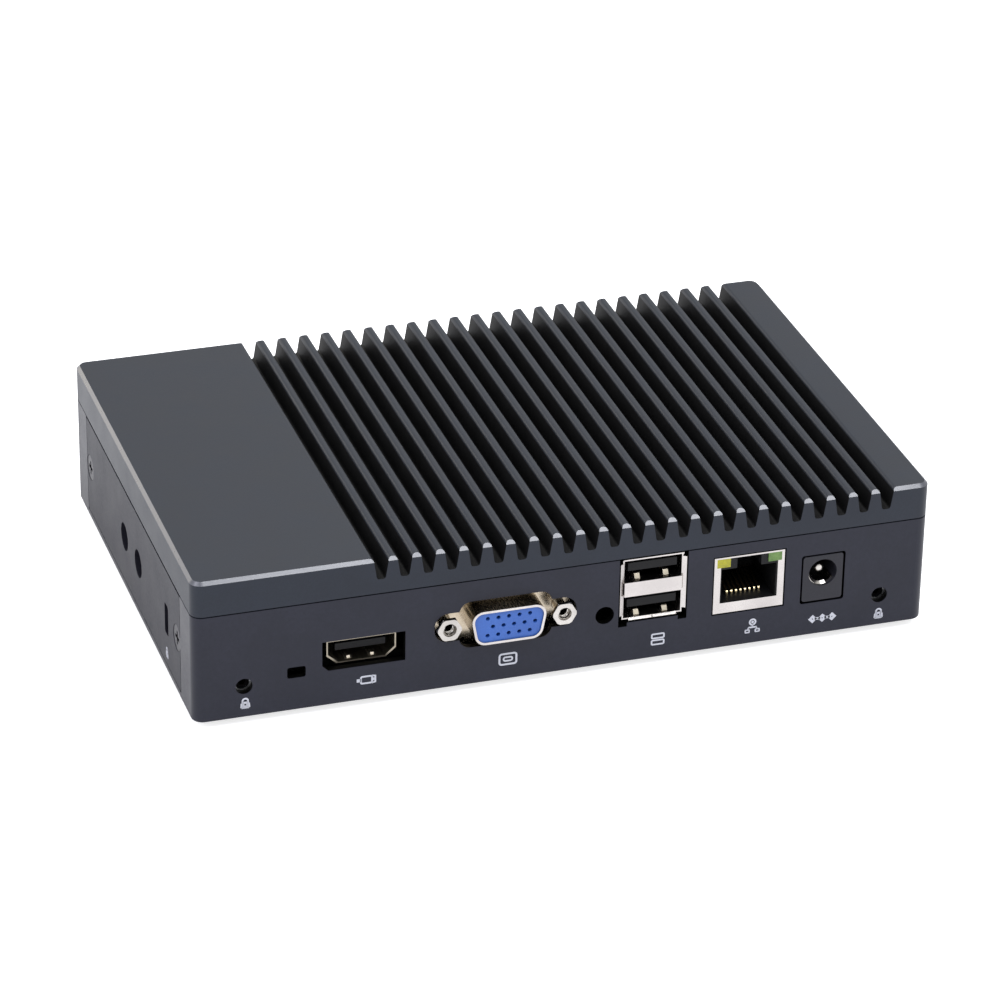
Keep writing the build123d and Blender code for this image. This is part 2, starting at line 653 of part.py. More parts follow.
# Headless set screws deep in the two lock holes
with BuildPart() as lock_screws:
    with Locations(*sunk(lock_spots, LOCK_SCREW_DEPTH)):
        Cylinder(SCREW_R, LOCK_SCREW_LENGTH, align=(Align.CENTER, Align.CENTER, Align.MAX))
lock_screws.part.label = "lock_screws"

with BuildPart() as rubber_feet:
    with BuildSketch(Plane.XY):
        with Locations(*corners(FOOT_INSET_X, FOOT_INSET_Y)):
            Circle(FOOT_R)
    extrude(amount=FOOT_HEIGHT + FOOT_SEAT)
    chamfer(rubber_feet.edges().group_by(Axis.Z)[0], FOOT_CHAMFER)
rubber_feet.part.label = "rubber_feet"

# Mainboard between the corner blocks, on the four posts
board_depth = CASE_DEPTH - BOARD_FRONT - BOARD_REAR
with BuildPart() as mainboard:
    with BuildSketch(Plane.XY.offset(BOARD_Z)):
        with Locations((0, behind(BOARD_FRONT + board_depth / 2))):
            RectangleRounded(CASE_WIDTH - 2 * BOARD_INSET, board_depth, BOARD_CORNER_R)
        with Locations(*post_spots):
            Circle(BOARD_SCREW_R + SCREW_CLEARANCE, mode=Mode.SUBTRACT)
    extrude(amount=-BOARD_THICKNESS)
mainboard.part.label = "mainboard"

board_screw = pan_screw(BOARD_SCREW_R, BOARD_SCREW_HEAD_R, BOARD_SCREW_HEAD, BOARD_SCREW_LENGTH)
with BuildPart() as board_screws:
    with Locations(*[outward((x, y, BOARD_Z), (0, 0, 1)) for x, y in post_spots]):
        add(board_screw)
board_screws.part.label = "board_screws"

# Processor, soft pad and the block that leads its heat to the cover
with BuildPart() as processor:
    with BuildSketch(Plane.XY.offset(BOARD_Z)):
        with Locations(chip_spot):
            Rectangle(CHIP_WIDTH, CHIP_DEPTH)
    extrude(amount=CHIP_THICKNESS)
    with BuildSketch(Plane.XY.offset(BOARD_Z + CHIP_THICKNESS)):
        with Locations(chip_spot):
            Rectangle(DIE_WIDTH, DIE_DEPTH)
    extrude(amount=DIE_THICKNESS)
processor.part.label = "processor"

die_z = BOARD_Z + CHIP_THICKNESS + DIE_THICKNESS
with BuildPart() as thermal_pad:
    with BuildSketch(Plane.XY.offset(die_z)):
        with Locations(chip_spot):
            Rectangle(THERMAL_PAD_WIDTH, THERMAL_PAD_WIDTH)
    extrude(amount=THERMAL_PAD)
thermal_pad.part.label = "thermal_pad"

block_top = CEILING_Z - COVER_PAD
with BuildPart() as heat_block:
    with BuildSketch(Plane.XY.offset(die_z + THERMAL_PAD)):
        with Locations(chip_spot):
            RectangleRounded(BLOCK_WIDTH, BLOCK_WIDTH, CORNER_R)
    extrude(amount=block_top - die_z - THERMAL_PAD)
    with BuildSketch(Plane.XY.offset(block_top)):
        with Locations(chip_spot):
            RectangleRounded(BLOCK_FLANGE_WIDTH, BLOCK_FLANGE_WIDTH, CORNER_R)
    extrude(amount=-BLOCK_FLANGE)
    with Locations(*[outward((x, y, block_top - BLOCK_FLANGE), (0, 0, -1)) for x, y in block_spots]):
        Hole(BOARD_SCREW_R + SCREW_CLEARANCE, BLOCK_FLANGE)
heat_block.part.label = "heat_block"

block_screw = pan_screw(BOARD_SCREW_R, BOARD_SCREW_HEAD_R, BOARD_SCREW_HEAD, BLOCK_SCREW_LENGTH)
with BuildPart() as heat_block_screws:
    with Locations(*[outward((x, y, block_top - BLOCK_FLANGE), (0, 0, -1)) for x, y in block_spots]):
        add(block_screw)
heat_block_screws.part.label = "heat_block_screws"

with BuildPart() as memory_chips:
    with BuildSketch(Plane.XY.offset(BOARD_Z)):
        with Locations(on_board(MEMORY_PLACE)):
            with GridLocations(MEMORY_PITCH, 0, MEMORY_COUNT, 1):
                Rectangle(MEMORY_WIDTH, MEMORY_DEPTH)
    extrude(amount=MEMORY_THICKNESS)
memory_chips.part.label = "memory_chips"

# Storage card, plugged into its socket at the back and screwed to a spacer
storage_z = BOARD_Z + STORAGE_LIFT
storage_spot = on_board(STORAGE_PLACE)
storage_rear = storage_spot[1] + STORAGE_LENGTH / 2
spacer_spot = (storage_spot[0], storage_rear - STORAGE_LENGTH + SPACER_INSET)
with BuildPart() as storage_card:
    with BuildSketch(Plane.XY.offset(storage_z)):
        with Locations(storage_spot):
            Rectangle(STORAGE_WIDTH, STORAGE_LENGTH)
        with Locations(spacer_spot):
            Circle(STORAGE_SCREW_R + SCREW_CLEARANCE, mode=Mode.SUBTRACT)
    extrude(amount=STORAGE_CARD)
    with BuildSketch(Plane.XY.offset(storage_z + STORAGE_CARD)):
        with Locations((storage_spot[0], storage_spot[1] + STORAGE_CHIP_SHIFT)):
            with GridLocations(0, STORAGE_CHIP_PITCH, 1, 2):
                Rectangle(STORAGE_CHIP_WIDTH, STORAGE_CHIP_WIDTH)
    extrude(amount=STORAGE_CHIP_THICKNESS)
storage_card.part.label = "storage_card"

with BuildPart() as storage_socket:
    with BuildSketch(Plane.YZ.offset(storage_spot[0])):
        bar_y = storage_rear - STORAGE_SLOT_DEPTH
        with Locations((bar_y, BOARD_Z)):
            Rectangle(STORAGE_BAR_DEPTH, STORAGE_BAR_HEIGHT, align=(Align.MIN, Align.MIN))
        with Locations((bar_y, storage_z - CARD_CLEARANCE)):
            Rectangle(STORAGE_SLOT_DEPTH + CARD_CLEARANCE, STORAGE_CARD + 2 * CARD_CLEARANCE,
                      align=(Align.MIN, Align.MIN), mode=Mode.SUBTRACT)
    extrude(amount=STORAGE_BAR_WIDTH / 2, both=True)
storage_socket.part.label = "storage_socket"

with BuildPart() as storage_spacer:
    with BuildSketch(Plane.XY.offset(BOARD_Z)):
        with Locations(spacer_spot):
            Circle(SPACER_R)
            Circle(STORAGE_SCREW_R + SCREW_CLEARANCE, mode=Mode.SUBTRACT)
    extrude(amount=STORAGE_LIFT)
storage_spacer.part.label = "storage_spacer"

with BuildPart() as storage_screw:
    with Locations(outward((spacer_spot[0], spacer_spot[1], storage_z + STORAGE_CARD), (0, 0, 1))):
        add(pan_screw(STORAGE_SCREW_R, STORAGE_SCREW_HEAD_R, STORAGE_SCREW_HEAD,
                      STORAGE_CARD + STORAGE_LIFT - CARD_CLEARANCE))
storage_screw.part.label = "storage_screw"

# Coin cell in its holder, and the larger parts soldered to the board
cell_spot = on_board(CELL_PLACE)
with BuildPart() as coin_cell_holder:
    with BuildSketch(Plane.XY.offset(BOARD_Z)):
        with Locations(cell_spot):
            Circle(HOLDER_R)
    extrude(amount=HOLDER_HEIGHT)
    with BuildSketch(Plane.XY.offset(BOARD_Z + HOLDER_FLOOR)):
        with Locations(cell_spot):
            Circle(CELL_R + CELL_CLEARANCE)
    extrude(amount=HOLDER_HEIGHT, mode=Mode.SUBTRACT)
coin_cell_holder.part.label = "coin_cell_holder"

with BuildPart() as coin_cell:
    with BuildSketch(Plane.XY.offset(BOARD_Z + HOLDER_FLOOR)):
        with Locations(cell_spot):
            Circle(CELL_R)
    extrude(amount=CELL_THICKNESS)
    chamfer(coin_cell.edges().group_by(Axis.Z)[-1], CELL_CHAMFER)
coin_cell.part.label = "coin_cell"

with BuildPart() as power_chokes:
    with BuildSketch(Plane.XY.offset(BOARD_Z)):
        with Locations(on_board(CHOKE_PLACE)):
            with GridLocations(CHOKE_PITCH, 0, CHOKE_COUNT, 1):
                RectangleRounded(CHOKE_WIDTH, CHOKE_WIDTH, CHOKE_CORNER_R)
    extrude(amount=CHOKE_HEIGHT)
power_chokes.part.label = "power_chokes"

with BuildPart() as capacitors:
    with BuildSketch(Plane.XY.offset(BOARD_Z)):
        with Locations(on_board(CAPACITOR_PLACE)):
            with GridLocations(CAPACITOR_PITCH, 0, CAPACITOR_COUNT, 1):
                Circle(CAPACITOR_R)
    extrude(amount=CAPACITOR_HEIGHT)
capacitors.part.label = "capacitors"

with BuildPart() as controller_chip:
    with BuildSketch(Plane.XY.offset(BOARD_Z)):
        with Locations(on_board(CONTROLLER_PLACE)):
            Rectangle(CONTROLLER_WIDTH, CONTROLLER_WIDTH)
    extrude(amount=CONTROLLER_THICKNESS)
controller_chip.part.label = "controller_chip"

with BuildPart() as network_transformer:
    with BuildSketch(Plane.XY.offset(BOARD_Z)):
        transformer_y = behind(NETWORK_DEPTH + NETWORK_LENGTH + TRANSFORMER_GAP)
        with Locations((across(NETWORK_PLACE), transformer_y)):
            Rectangle(TRANSFORMER_WIDTH, TRANSFORMER_DEPTH, align=(Align.CENTER, Align.MIN))
    extrude(amount=TRANSFORMER_HEIGHT)
network_transformer.part.label = "network_transformer"

# Power button with its switch, and the status light with its light pipe
button_spot = (button_x, UNDERSIDE_Z + BUTTON_Z)
switch_y = REAR_Y - SWITCH_REAR
stem_y = switch_y + PLUNGER_OUT
flange_y = REAR_Y - WALL - BUTTON_CLEARANCE
with BuildPart() as power_button:
    with BuildSketch(Plane.XZ.offset(-stem_y)):
        with Locations(button_spot):
            Circle(BUTTON_STEM_R)
    extrude(amount=-(REAR_Y - stem_y))
    with BuildSketch(Plane.XZ.offset(-flange_y)):
        with Locations(button_spot):
            Circle(BUTTON_FLANGE_R)
    extrude(amount=BUTTON_FLANGE)
    with BuildSketch(Plane.XZ.offset(-flange_y)):
        with Locations(button_spot):
            Circle(BUTTON_R)
    extrude(amount=-(REAR_Y - flange_y))
    with BuildSketch(Plane.XZ.offset(-REAR_Y)):
        with Locations(button_spot):
            Circle(BUTTON_STEM_R)
    extrude(amount=BUTTON_DISH, taper=BUTTON_DISH_SLOPE, mode=Mode.SUBTRACT)
power_button.part.label = "power_button"

with BuildPart() as switch_plunger:
    with BuildSketch(Plane.XZ.offset(PLUNGER_IN - switch_y)):
        with Locations(button_spot):
            Circle(PLUNGER_R)
    extrude(amount=-(PLUNGER_OUT + PLUNGER_IN))
switch_plunger.part.label = "switch_plunger"

with BuildPart() as power_switch:
    with BuildSketch(Plane.XZ.offset(-switch_y)):
        with Locations((button_x, BOARD_Z)):
            Rectangle(SWITCH_WIDTH, SWITCH_HEIGHT, align=(Align.CENTER, Align.MIN))
    extrude(amount=SWITCH_DEPTH)
    with BuildSketch(Plane.XZ.offset(-switch_y)):
        with Locations(button_spot):
            Circle(PLUNGER_R + PLUNGER_CLEARANCE)
    extrude(amount=PLUNGER_IN + BUTTON_TRAVEL + 2 * BUTTON_CLEARANCE, mode=Mode.SUBTRACT)
power_switch.part.label = "power_switch"

pipe_spot = (pipe_x, UNDERSIDE_Z + BUTTON_Z)
with BuildPart() as status_light_pipe:
    with BuildSketch(Plane.XZ.offset(-REAR_Y)):
        with Locations(pipe_spot):
            Circle(PIPE_R)
    extrude(amount=PIPE_LENGTH)
    with BuildSketch(Plane.XZ.offset(WALL - REAR_Y)):
        with Locations(pipe_spot):
            Circle(PIPE_FLANGE_R)
    extrude(amount=PIPE_FLANGE)
status_light_pipe.part.label = "status_light_pipe"

with BuildPart() as status_light:
    with BuildSketch(Plane.XY.offset(BOARD_Z)):
        with Locations((pipe_x, BOARD_REAR_Y)):
            Rectangle(STATUS_LIGHT, STATUS_LIGHT, align=(Align.CENTER, Align.MAX))
    extrude(amount=STATUS_LIGHT_HEIGHT)
status_light.part.label = "status_light"


def spring_bump(front_y, base_z, x):
    """Bowed contact spring standing on a sheet; drawn in a plane across the socket."""
    with BuildPart() as bump:
        with BuildSketch(Plane.YZ.offset(x)):
            with BuildLine():
                start = (front_y, base_z)
                top = (front_y + SPRING_LENGTH * SPRING_CREST, base_z + SPRING_RISE)
                end = (front_y + SPRING_LENGTH, base_z)
                ThreePointArc(start, top, end)
                Line(end, start)
            make_face()
        extrude(amount=SPRING_WIDTH / 2, both=True)
    return bump.part


def digital_outline(inset):
    """Corner points of the digital video shell, this far inside its outer face."""
    half = DIGITAL_WIDTH / 2 - inset
    low = inset
    high = DIGITAL_HEIGHT - inset
    slope_x = DIGITAL_SHOULDER
    slope_z = DIGITAL_SHOULDER_RISE
    return [(-half, high), (half, high), (half, low + slope_z), (half - slope_x, low),
            (slope_x - half, low), (-half, low + slope_z)]


# Digital video socket: folded sheet shell with sloped lower corners, and its tongue
digital_z = BOARD_Z + DIGITAL_LIFT
digital_origin = (across(DIGITAL_PLACE), behind(DIGITAL_DEPTH), digital_z)
digital_plane = front_plane(DIGITAL_DEPTH).shift_origin(digital_origin)
digital_springs = [spring_bump(behind(DIGITAL_DEPTH + SPRING_FRONT / 2), digital_z + DIGITAL_SHEET,
                               across(DIGITAL_PLACE) + side * DIGITAL_SPRING_PITCH / 2)
                   for side in (-1, 1)]
with BuildPart() as digital_video_shell:
    with BuildSketch(digital_plane):
        Polygon(*digital_outline(0), align=None)
        Polygon(*digital_outline(DIGITAL_SHEET), align=None, mode=Mode.SUBTRACT)
    extrude(amount=-DIGITAL_LENGTH)
    add(digital_springs)
digital_video_shell.part.label = "digital_video_shell"

tongue_front = DIGITAL_DEPTH + DIGITAL_TONGUE_RECESS
tongue_top = digital_z + DIGITAL_HEIGHT - DIGITAL_SHEET - DIGITAL_TONGUE_DROP
digital_rear = DIGITAL_DEPTH + DIGITAL_LENGTH
digital_port_depth = SPRING_FRONT + SPRING_LENGTH + DIGITAL_BACK_GAP
with BuildPart() as digital_video_insert:
    with BuildSketch(front_plane(DIGITAL_DEPTH + digital_port_depth)):
        with Locations((across(DIGITAL_PLACE), digital_z)):
            Polygon(*digital_outline(DIGITAL_SHEET), align=None)
    extrude(amount=-(DIGITAL_LENGTH - digital_port_depth))
    with BuildSketch(front_plane(tongue_front)):
        with Locations((across(DIGITAL_PLACE), tongue_top)):
            Rectangle(DIGITAL_TONGUE_WIDTH, DIGITAL_TONGUE_THICKNESS, align=(Align.CENTER, Align.MAX))
    extrude(amount=-(digital_rear - tongue_front))
digital_video_insert.part.label = "digital_video_insert"


def d_profile(inset, mode=Mode.ADD):
    """D outline of the analogue video shell, wide side up, this far inside its outer face."""
    slope = D_HEIGHT * tan(radians(D_SLOPE))
    half_top = D_WIDTH / 2 - inset
    half_low = D_WIDTH / 2 - slope - inset
    reach = D_HEIGHT / 2 - inset
    with BuildSketch(Plane.XY, mode=Mode.PRIVATE) as outline:
        Polygon((-half_top, reach), (half_top, reach), (half_low, -reach), (-half_low, -reach),
                align=None)
        fillet(outline.vertices(), D_CORNER_R - inset)
    return add(outline.sketch, mode=mode)


# Analogue video socket: D shell on a flange, blue insulator with 15 contact holes, hex nuts
d_rim = -SOCKET_PROUD
flange_front = D_LENGTH - SOCKET_PROUD
flange_rear = flange_front + FLANGE_SHEET
analogue_spot = (across(ANALOGUE_PLACE), UNDERSIDE_Z + ANALOGUE_Z)
nut_spots = [(analogue_spot[0] + side * NUT_PITCH / 2, analogue_spot[1]) for side in (-1, 1)]
with BuildPart() as analogue_video_shell:
    with BuildSketch(front_plane(d_rim)):
        with Locations(analogue_spot):
            d_profile(0)
            d_profile(D_SHEET, mode=Mode.SUBTRACT)
    extrude(amount=-D_LENGTH)
    with BuildSketch(front_plane(flange_front)):
        with Locations(analogue_spot):
            RectangleRounded(FLANGE_WIDTH, FLANGE_HEIGHT, FLANGE_CORNER_R)
            d_profile(D_SHEET, mode=Mode.SUBTRACT)
        with Locations(*nut_spots):
            Circle(NUT_STUD_R + SCREW_CLEARANCE, mode=Mode.SUBTRACT)
    extrude(amount=-FLANGE_SHEET)
analogue_video_shell.part.label = "analogue_video_shell"

with BuildPart() as analogue_video_insulator:
    with BuildSketch(front_plane(d_rim + D_FACE_RECESS)):
        with Locations(analogue_spot):
            d_profile(D_SHEET)
    extrude(amount=-(flange_rear - d_rim - D_FACE_RECESS))
    with BuildSketch(front_plane(d_rim + D_FACE_RECESS)):
        for row, shift in ((1, 0), (0, CONTACT_PITCH / 2), (-1, 0)):
            with Locations((analogue_spot[0] + shift, analogue_spot[1] + row * CONTACT_ROW)):
                with GridLocations(CONTACT_PITCH, 0, 5, 1):
                    Circle(CONTACT_R)
    extrude(amount=-CONTACT_DEPTH, mode=Mode.SUBTRACT)
analogue_video_insulator.part.label = "analogue_video_insulator"

with BuildPart() as analogue_video_body:
    with BuildSketch(front_plane(flange_rear)):
        with Locations((analogue_spot[0], BOARD_Z)):
            Rectangle(FLANGE_WIDTH, analogue_spot[1] + D_HEIGHT / 2 - BOARD_Z,
                      align=(Align.CENTER, Align.MIN))
        with Locations(*nut_spots):
            Circle(NUT_STUD_R + SCREW_CLEARANCE, mode=Mode.SUBTRACT)
    extrude(amount=-ANALOGUE_BODY_DEPTH)
analogue_video_body.part.label = "analogue_video_body"

nut_length = flange_front + NUT_PROUD
with BuildPart() as jack_nuts:
    with BuildSketch(front_plane(-NUT_PROUD)):
        with Locations(*nut_spots):
            RegularPolygon(NUT_WIDTH / 2, 6, major_radius=False, rotation=30)
    extrude(amount=-nut_length)
    with BuildSketch(front_plane(flange_front)):
        with Locations(*nut_spots):
            Circle(NUT_STUD_R)
    extrude(amount=-NUT_STUD_LENGTH)
    with Locations(*[outward((x, behind(-NUT_PROUD), z), (0, -1, 0)) for x, z in nut_spots]):
        Hole(NUT_HOLE_R, nut_length)
jack_nuts.part.label = "jack_nuts"

# Twin data socket: one folded shell round two ports, flared lips at the sides and below,
# a band between the ports, and the insulator with a tongue in each port
twin_x = across(TWIN_PLACE)
twin_z = UNDERSIDE_Z + TWIN_BOTTOM
twin_width = TWIN_INSIDE + 2 * TWIN_SHEET
twin_floor = twin_z + TWIN_SHEET
twin_roof = twin_z + TWIN_HEIGHT - TWIN_SHEET
band_low = twin_floor + TWIN_PORT_HEIGHT
band_high = twin_roof - TWIN_PORT_HEIGHT
twin_springs = [spring_bump(behind(TWIN_DEPTH + SPRING_FRONT), base, twin_x + side * SPRING_PITCH / 2)
                for base in (twin_floor, band_high) for side in (-1, 1)]
with BuildPart() as twin_data_shell:
    tip = behind(TWIN_DEPTH)
    root = behind(TWIN_DEPTH + TWIN_FLARE_DEPTH)
    with BuildSketch(front_plane(TWIN_DEPTH + TWIN_FLARE_DEPTH)):
        with Locations((twin_x, twin_z)):
            Rectangle(twin_width, TWIN_HEIGHT, align=(Align.CENTER, Align.MIN))
        with Locations((twin_x, twin_floor)):
            Rectangle(TWIN_INSIDE, twin_roof - twin_floor, align=(Align.CENTER, Align.MIN),
                      mode=Mode.SUBTRACT)
    extrude(amount=TWIN_FLARE_DEPTH - TWIN_LENGTH)
    with BuildSketch(front_plane(TWIN_DEPTH)):
        with Locations((twin_x, twin_roof)):
            Rectangle(twin_width, TWIN_SHEET, align=(Align.CENTER, Align.MIN))
    extrude(amount=-TWIN_FLARE_DEPTH)
    # Flared lips
    with BuildSketch(Plane.XY.offset(twin_z + TWIN_FLARE_MARGIN)):
        for side in (-1, 1):
            inner = twin_x + side * TWIN_INSIDE / 2
            Polygon((inner, root), (inner + side * TWIN_FLARE, tip),
                    (inner + side * TWIN_FLARE, tip + TWIN_SHEET),
                    (twin_x + side * twin_width / 2, root + TWIN_SHEET), align=None)
    extrude(amount=TWIN_HEIGHT - 2 * TWIN_FLARE_MARGIN)
    with BuildSketch(Plane.YZ.offset(twin_x)):
        lip_z = twin_floor - TWIN_LIP_DROP
        Polygon((root, twin_floor), (tip, lip_z), (tip + TWIN_SHEET, lip_z),
                (root + TWIN_SHEET, twin_z), align=None)
    extrude(amount=TWIN_INSIDE / 2 - TWIN_FLARE_MARGIN, both=True)
    with BuildSketch(front_plane(TWIN_DEPTH)):
        with Locations((twin_x, twin_floor)):
            Rectangle(TWIN_SEAM, TWIN_LIP_DROP + TWIN_SHEET, align=(Align.CENTER, Align.MAX))
    extrude(amount=-TWIN_FLARE_DEPTH, mode=Mode.SUBTRACT)
    # Band folded back between the ports
    with BuildSketch(Plane.YZ.offset(twin_x)):
        with Locations((tip, band_low)):
            Rectangle(TWIN_BAND_DEPTH, band_high - band_low, align=(Align.MIN, Align.MIN))
        with Locations((tip + TWIN_SHEET, band_low + TWIN_SHEET)):
            Rectangle(TWIN_BAND_DEPTH, band_high - band_low - 2 * TWIN_SHEET,
                      align=(Align.MIN, Align.MIN), mode=Mode.SUBTRACT)
    extrude(amount=TWIN_INSIDE / 2, both=True)
    add(twin_springs)
twin_data_shell.part.label = "twin_data_shell"

with BuildPart() as twin_data_insulator:
    with BuildSketch(front_plane(TWIN_DEPTH + TWIN_PORT_DEPTH)):
        with Locations((twin_x, twin_floor)):
            Rectangle(TWIN_INSIDE, twin_roof - twin_floor, align=(Align.CENTER, Align.MIN))
    extrude(amount=-(TWIN_LENGTH - TWIN_PORT_DEPTH))
    with BuildSketch(front_plane(TWIN_DEPTH + TWIN_SHEET)):
        with Locations((twin_x, (band_low + band_high) / 2)):
            Rectangle(TWIN_INSIDE, band_high - band_low - 2 * TWIN_SHEET)
    extrude(amount=-(TWIN_PORT_DEPTH - TWIN_SHEET))
    with BuildSketch(front_plane(TWIN_DEPTH + TWIN_TONGUE_RECESS)):
        with Locations(*[(twin_x, roof - TWIN_TONGUE_DROP) for roof in (band_low, twin_roof)]):
            Rectangle(TWIN_TONGUE_WIDTH, TWIN_TONGUE_THICKNESS, align=(Align.CENTER, Align.MAX))
    extrude(amount=-(TWIN_PORT_DEPTH - TWIN_TONGUE_RECESS))
twin_data_insulator.part.label = "twin_data_insulator"

with BuildPart() as twin_data_base:
    with BuildSketch(Plane.XY.offset(BOARD_Z)):
        with Locations((twin_x, behind(BOARD_FRONT))):
            Rectangle(twin_width, TWIN_LENGTH + TWIN_DEPTH - BOARD_FRONT, align=(Align.CENTER, Align.MIN))
    extrude(amount=twin_z - BOARD_Z)
twin_data_base.part.label = "twin_data_base"

# Network socket: shell with a framed front, insulator with a stepped opening, two light
# windows and eight spring wires
network_x = across(NETWORK_PLACE)
network_z = BOARD_Z + NETWORK_LIFT
network_top = network_z + NETWORK_HEIGHT
port_width = NETWORK_WIDTH - 2 * NETWORK_FRAME_SIDE - 2 * NETWORK_CUT_GAP
port_floor = network_z + NETWORK_FRAME_BOTTOM
light_low = network_top - NETWORK_ROOF - LIGHT_HEIGHT
light_x = NETWORK_WIDTH / 2 - LIGHT_INSET - LIGHT_WIDTH / 2
window_half = NETWORK_WIDTH / 2 - LIGHT_INSET
with BuildPart() as network_shell:
    with BuildSketch(front_plane(NETWORK_DEPTH)):
        with Locations((network_x, network_z)):
            Rectangle(NETWORK_WIDTH, NETWORK_HEIGHT, align=(Align.CENTER, Align.MIN))
    extrude(amount=-NETWORK_LENGTH)
    with BuildSketch(front_plane(NETWORK_DEPTH + NETWORK_SHEET)):
        with Locations((network_x, network_z + NETWORK_SHEET)):
            Rectangle(NETWORK_WIDTH - 2 * NETWORK_SHEET, NETWORK_HEIGHT - 2 * NETWORK_SHEET,
                      align=(Align.CENTER, Align.MIN))
    extrude(amount=-NETWORK_LENGTH, mode=Mode.SUBTRACT)
    with BuildSketch(front_plane(NETWORK_DEPTH)):
        with Locations((network_x, port_floor)):
            Rectangle(NETWORK_WIDTH - 2 * NETWORK_FRAME_SIDE, light_low - port_floor,
                      align=(Align.CENTER, Align.MIN))
        with Locations((network_x, light_low)):
            Rectangle(2 * window_half, network_top - NETWORK_ROOF - light_low,
                      align=(Align.CENTER, Align.MIN))
    extrude(amount=-NETWORK_SHEET, mode=Mode.SUBTRACT)
network_shell.part.label = "network_shell"

with BuildPart() as network_insulator:
    inside_height = NETWORK_HEIGHT - 2 * NETWORK_SHEET
    with BuildSketch(front_plane(NETWORK_DEPTH + NETWORK_SHEET)):
        with Locations((network_x, network_z + NETWORK_SHEET)):
            Rectangle(NETWORK_WIDTH - 2 * NETWORK_SHEET, inside_height, align=(Align.CENTER, Align.MIN))
    extrude(amount=-(NETWORK_LENGTH - NETWORK_SHEET))
    with BuildSketch(front_plane(NETWORK_DEPTH)):
        with Locations((network_x, port_floor)):
            Rectangle(port_width, NETWORK_PORT_HEIGHT, align=(Align.CENTER, Align.MIN))
    extrude(amount=-NETWORK_PORT_DEPTH, mode=Mode.SUBTRACT)
    with BuildSketch(front_plane(NETWORK_DEPTH)):
        with Locations((network_x, port_floor)):
            Rectangle(NETWORK_LATCH_WIDTH, network_top - NETWORK_ROOF - NETWORK_SHEET - port_floor,
                      align=(Align.CENTER, Align.MIN))
    extrude(amount=-NETWORK_LATCH_DEPTH, mode=Mode.SUBTRACT)
    with BuildSketch(front_plane(NETWORK_DEPTH)):
        with Locations(*[(network_x + side * light_x, light_low) for side in (-1, 1)]):
            Rectangle(LIGHT_WIDTH, LIGHT_HEIGHT, align=(Align.CENTER, Align.MIN))
    extrude(amount=-LIGHT_DEPTH, mode=Mode.SUBTRACT)
network_insulator.part.label = "network_insulator"


def light_window(x):
    """Lens in its pocket beside the latch, flush with the frame."""
    with BuildPart() as lens:
        with BuildSketch(front_plane(NETWORK_DEPTH)):
            with Locations((x, light_low)):
                Rectangle(LIGHT_WIDTH, LIGHT_HEIGHT, align=(Align.CENTER, Align.MIN))
        extrude(amount=-LIGHT_DEPTH)
    return lens.part


with BuildPart() as link_light:
    add(light_window(network_x - light_x))
link_light.part.label = "link_light"

with BuildPart() as activity_light:
    add(light_window(network_x + light_x))
activity_light.part.label = "activity_light"

with BuildPart() as network_contacts:
    wire_y = behind(NETWORK_DEPTH + WIRE_FRONT)
    wire_end = behind(NETWORK_DEPTH + WIRE_REAR)
    first_wire = network_x - (WIRE_COUNT - 1) * WIRE_PITCH / 2
    with BuildSketch(Plane.YZ.offset(first_wire)):
        Polygon((wire_y, port_floor), (wire_y, port_floor + WIRE_LOW),
                (wire_end, port_floor + WIRE_HIGH),
                (wire_end, port_floor + WIRE_HIGH - WIRE_THICKNESS),
                (wire_y + WIRE_THICKNESS, port_floor + WIRE_LOW - WIRE_THICKNESS),
                (wire_y + WIRE_THICKNESS, port_floor), align=None)
    wire = extrude(amount=WIRE_WIDTH / 2, both=True, mode=Mode.PRIVATE)
    with Locations(*[(step * WIRE_PITCH, 0, 0) for step in range(WIRE_COUNT)]):
        add(wire)
network_contacts.part.label = "network_contacts"

# Power jack: moulded block, centre pin and the spring at the lower side of its bore
power_x = across(POWER_PLACE)
power_hole_spot = (power_x, BOARD_Z + POWER_HOLE_Z)
with BuildPart() as power_jack_body:
    with BuildSketch(front_plane(POWER_DEPTH)):
        with Locations((power_x, BOARD_Z)):
            Rectangle(POWER_WIDTH, POWER_HEIGHT, align=(Align.CENTER, Align.MIN))
    extrude(amount=-POWER_LENGTH)
    fillet(power_jack_body.edges().filter_by(Axis.Y), POWER_CORNER_R)
    with Locations(outward((power_hole_spot[0], behind(POWER_DEPTH), power_hole_spot[1]), (0, -1, 0))):
        Hole(POWER_HOLE_R, POWER_HOLE_DEPTH)
power_jack_body.part.label = "power_jack_body"

with BuildPart() as power_jack_pin:
    with BuildSketch(front_plane(POWER_DEPTH + POWER_PIN_RECESS)):
        with Locations(power_hole_spot):
            Circle(POWER_PIN_R)
    extrude(amount=-(POWER_HOLE_DEPTH - POWER_PIN_RECESS))
    fillet(power_jack_pin.edges().group_by(Axis.Y)[0], POWER_PIN_ROUND)
power_jack_pin.part.label = "power_jack_pin"

with BuildPart() as power_jack_spring:
    with BuildSketch(front_plane(POWER_DEPTH + POWER_SPRING_RECESS)):
        with Locations(power_hole_spot):
            Circle(POWER_HOLE_R)
            Circle(POWER_HOLE_R - POWER_SPRING_THICKNESS, mode=Mode.SUBTRACT)
        with Locations((power_hole_spot[0] + POWER_SPRING_OPENING,
                        power_hole_spot[1] - POWER_SPRING_OPENING)):
            Rectangle(4 * POWER_HOLE_R, 4 * POWER_HOLE_R, align=(Align.CENTER, Align.MIN),
                      rotation=POWER_SPRING_TILT, mode=Mode.SUBTRACT)
    extrude(amount=-(POWER_HOLE_DEPTH - 2 * POWER_SPRING_RECESS))
power_jack_spring.part.label = "power_jack_spring"

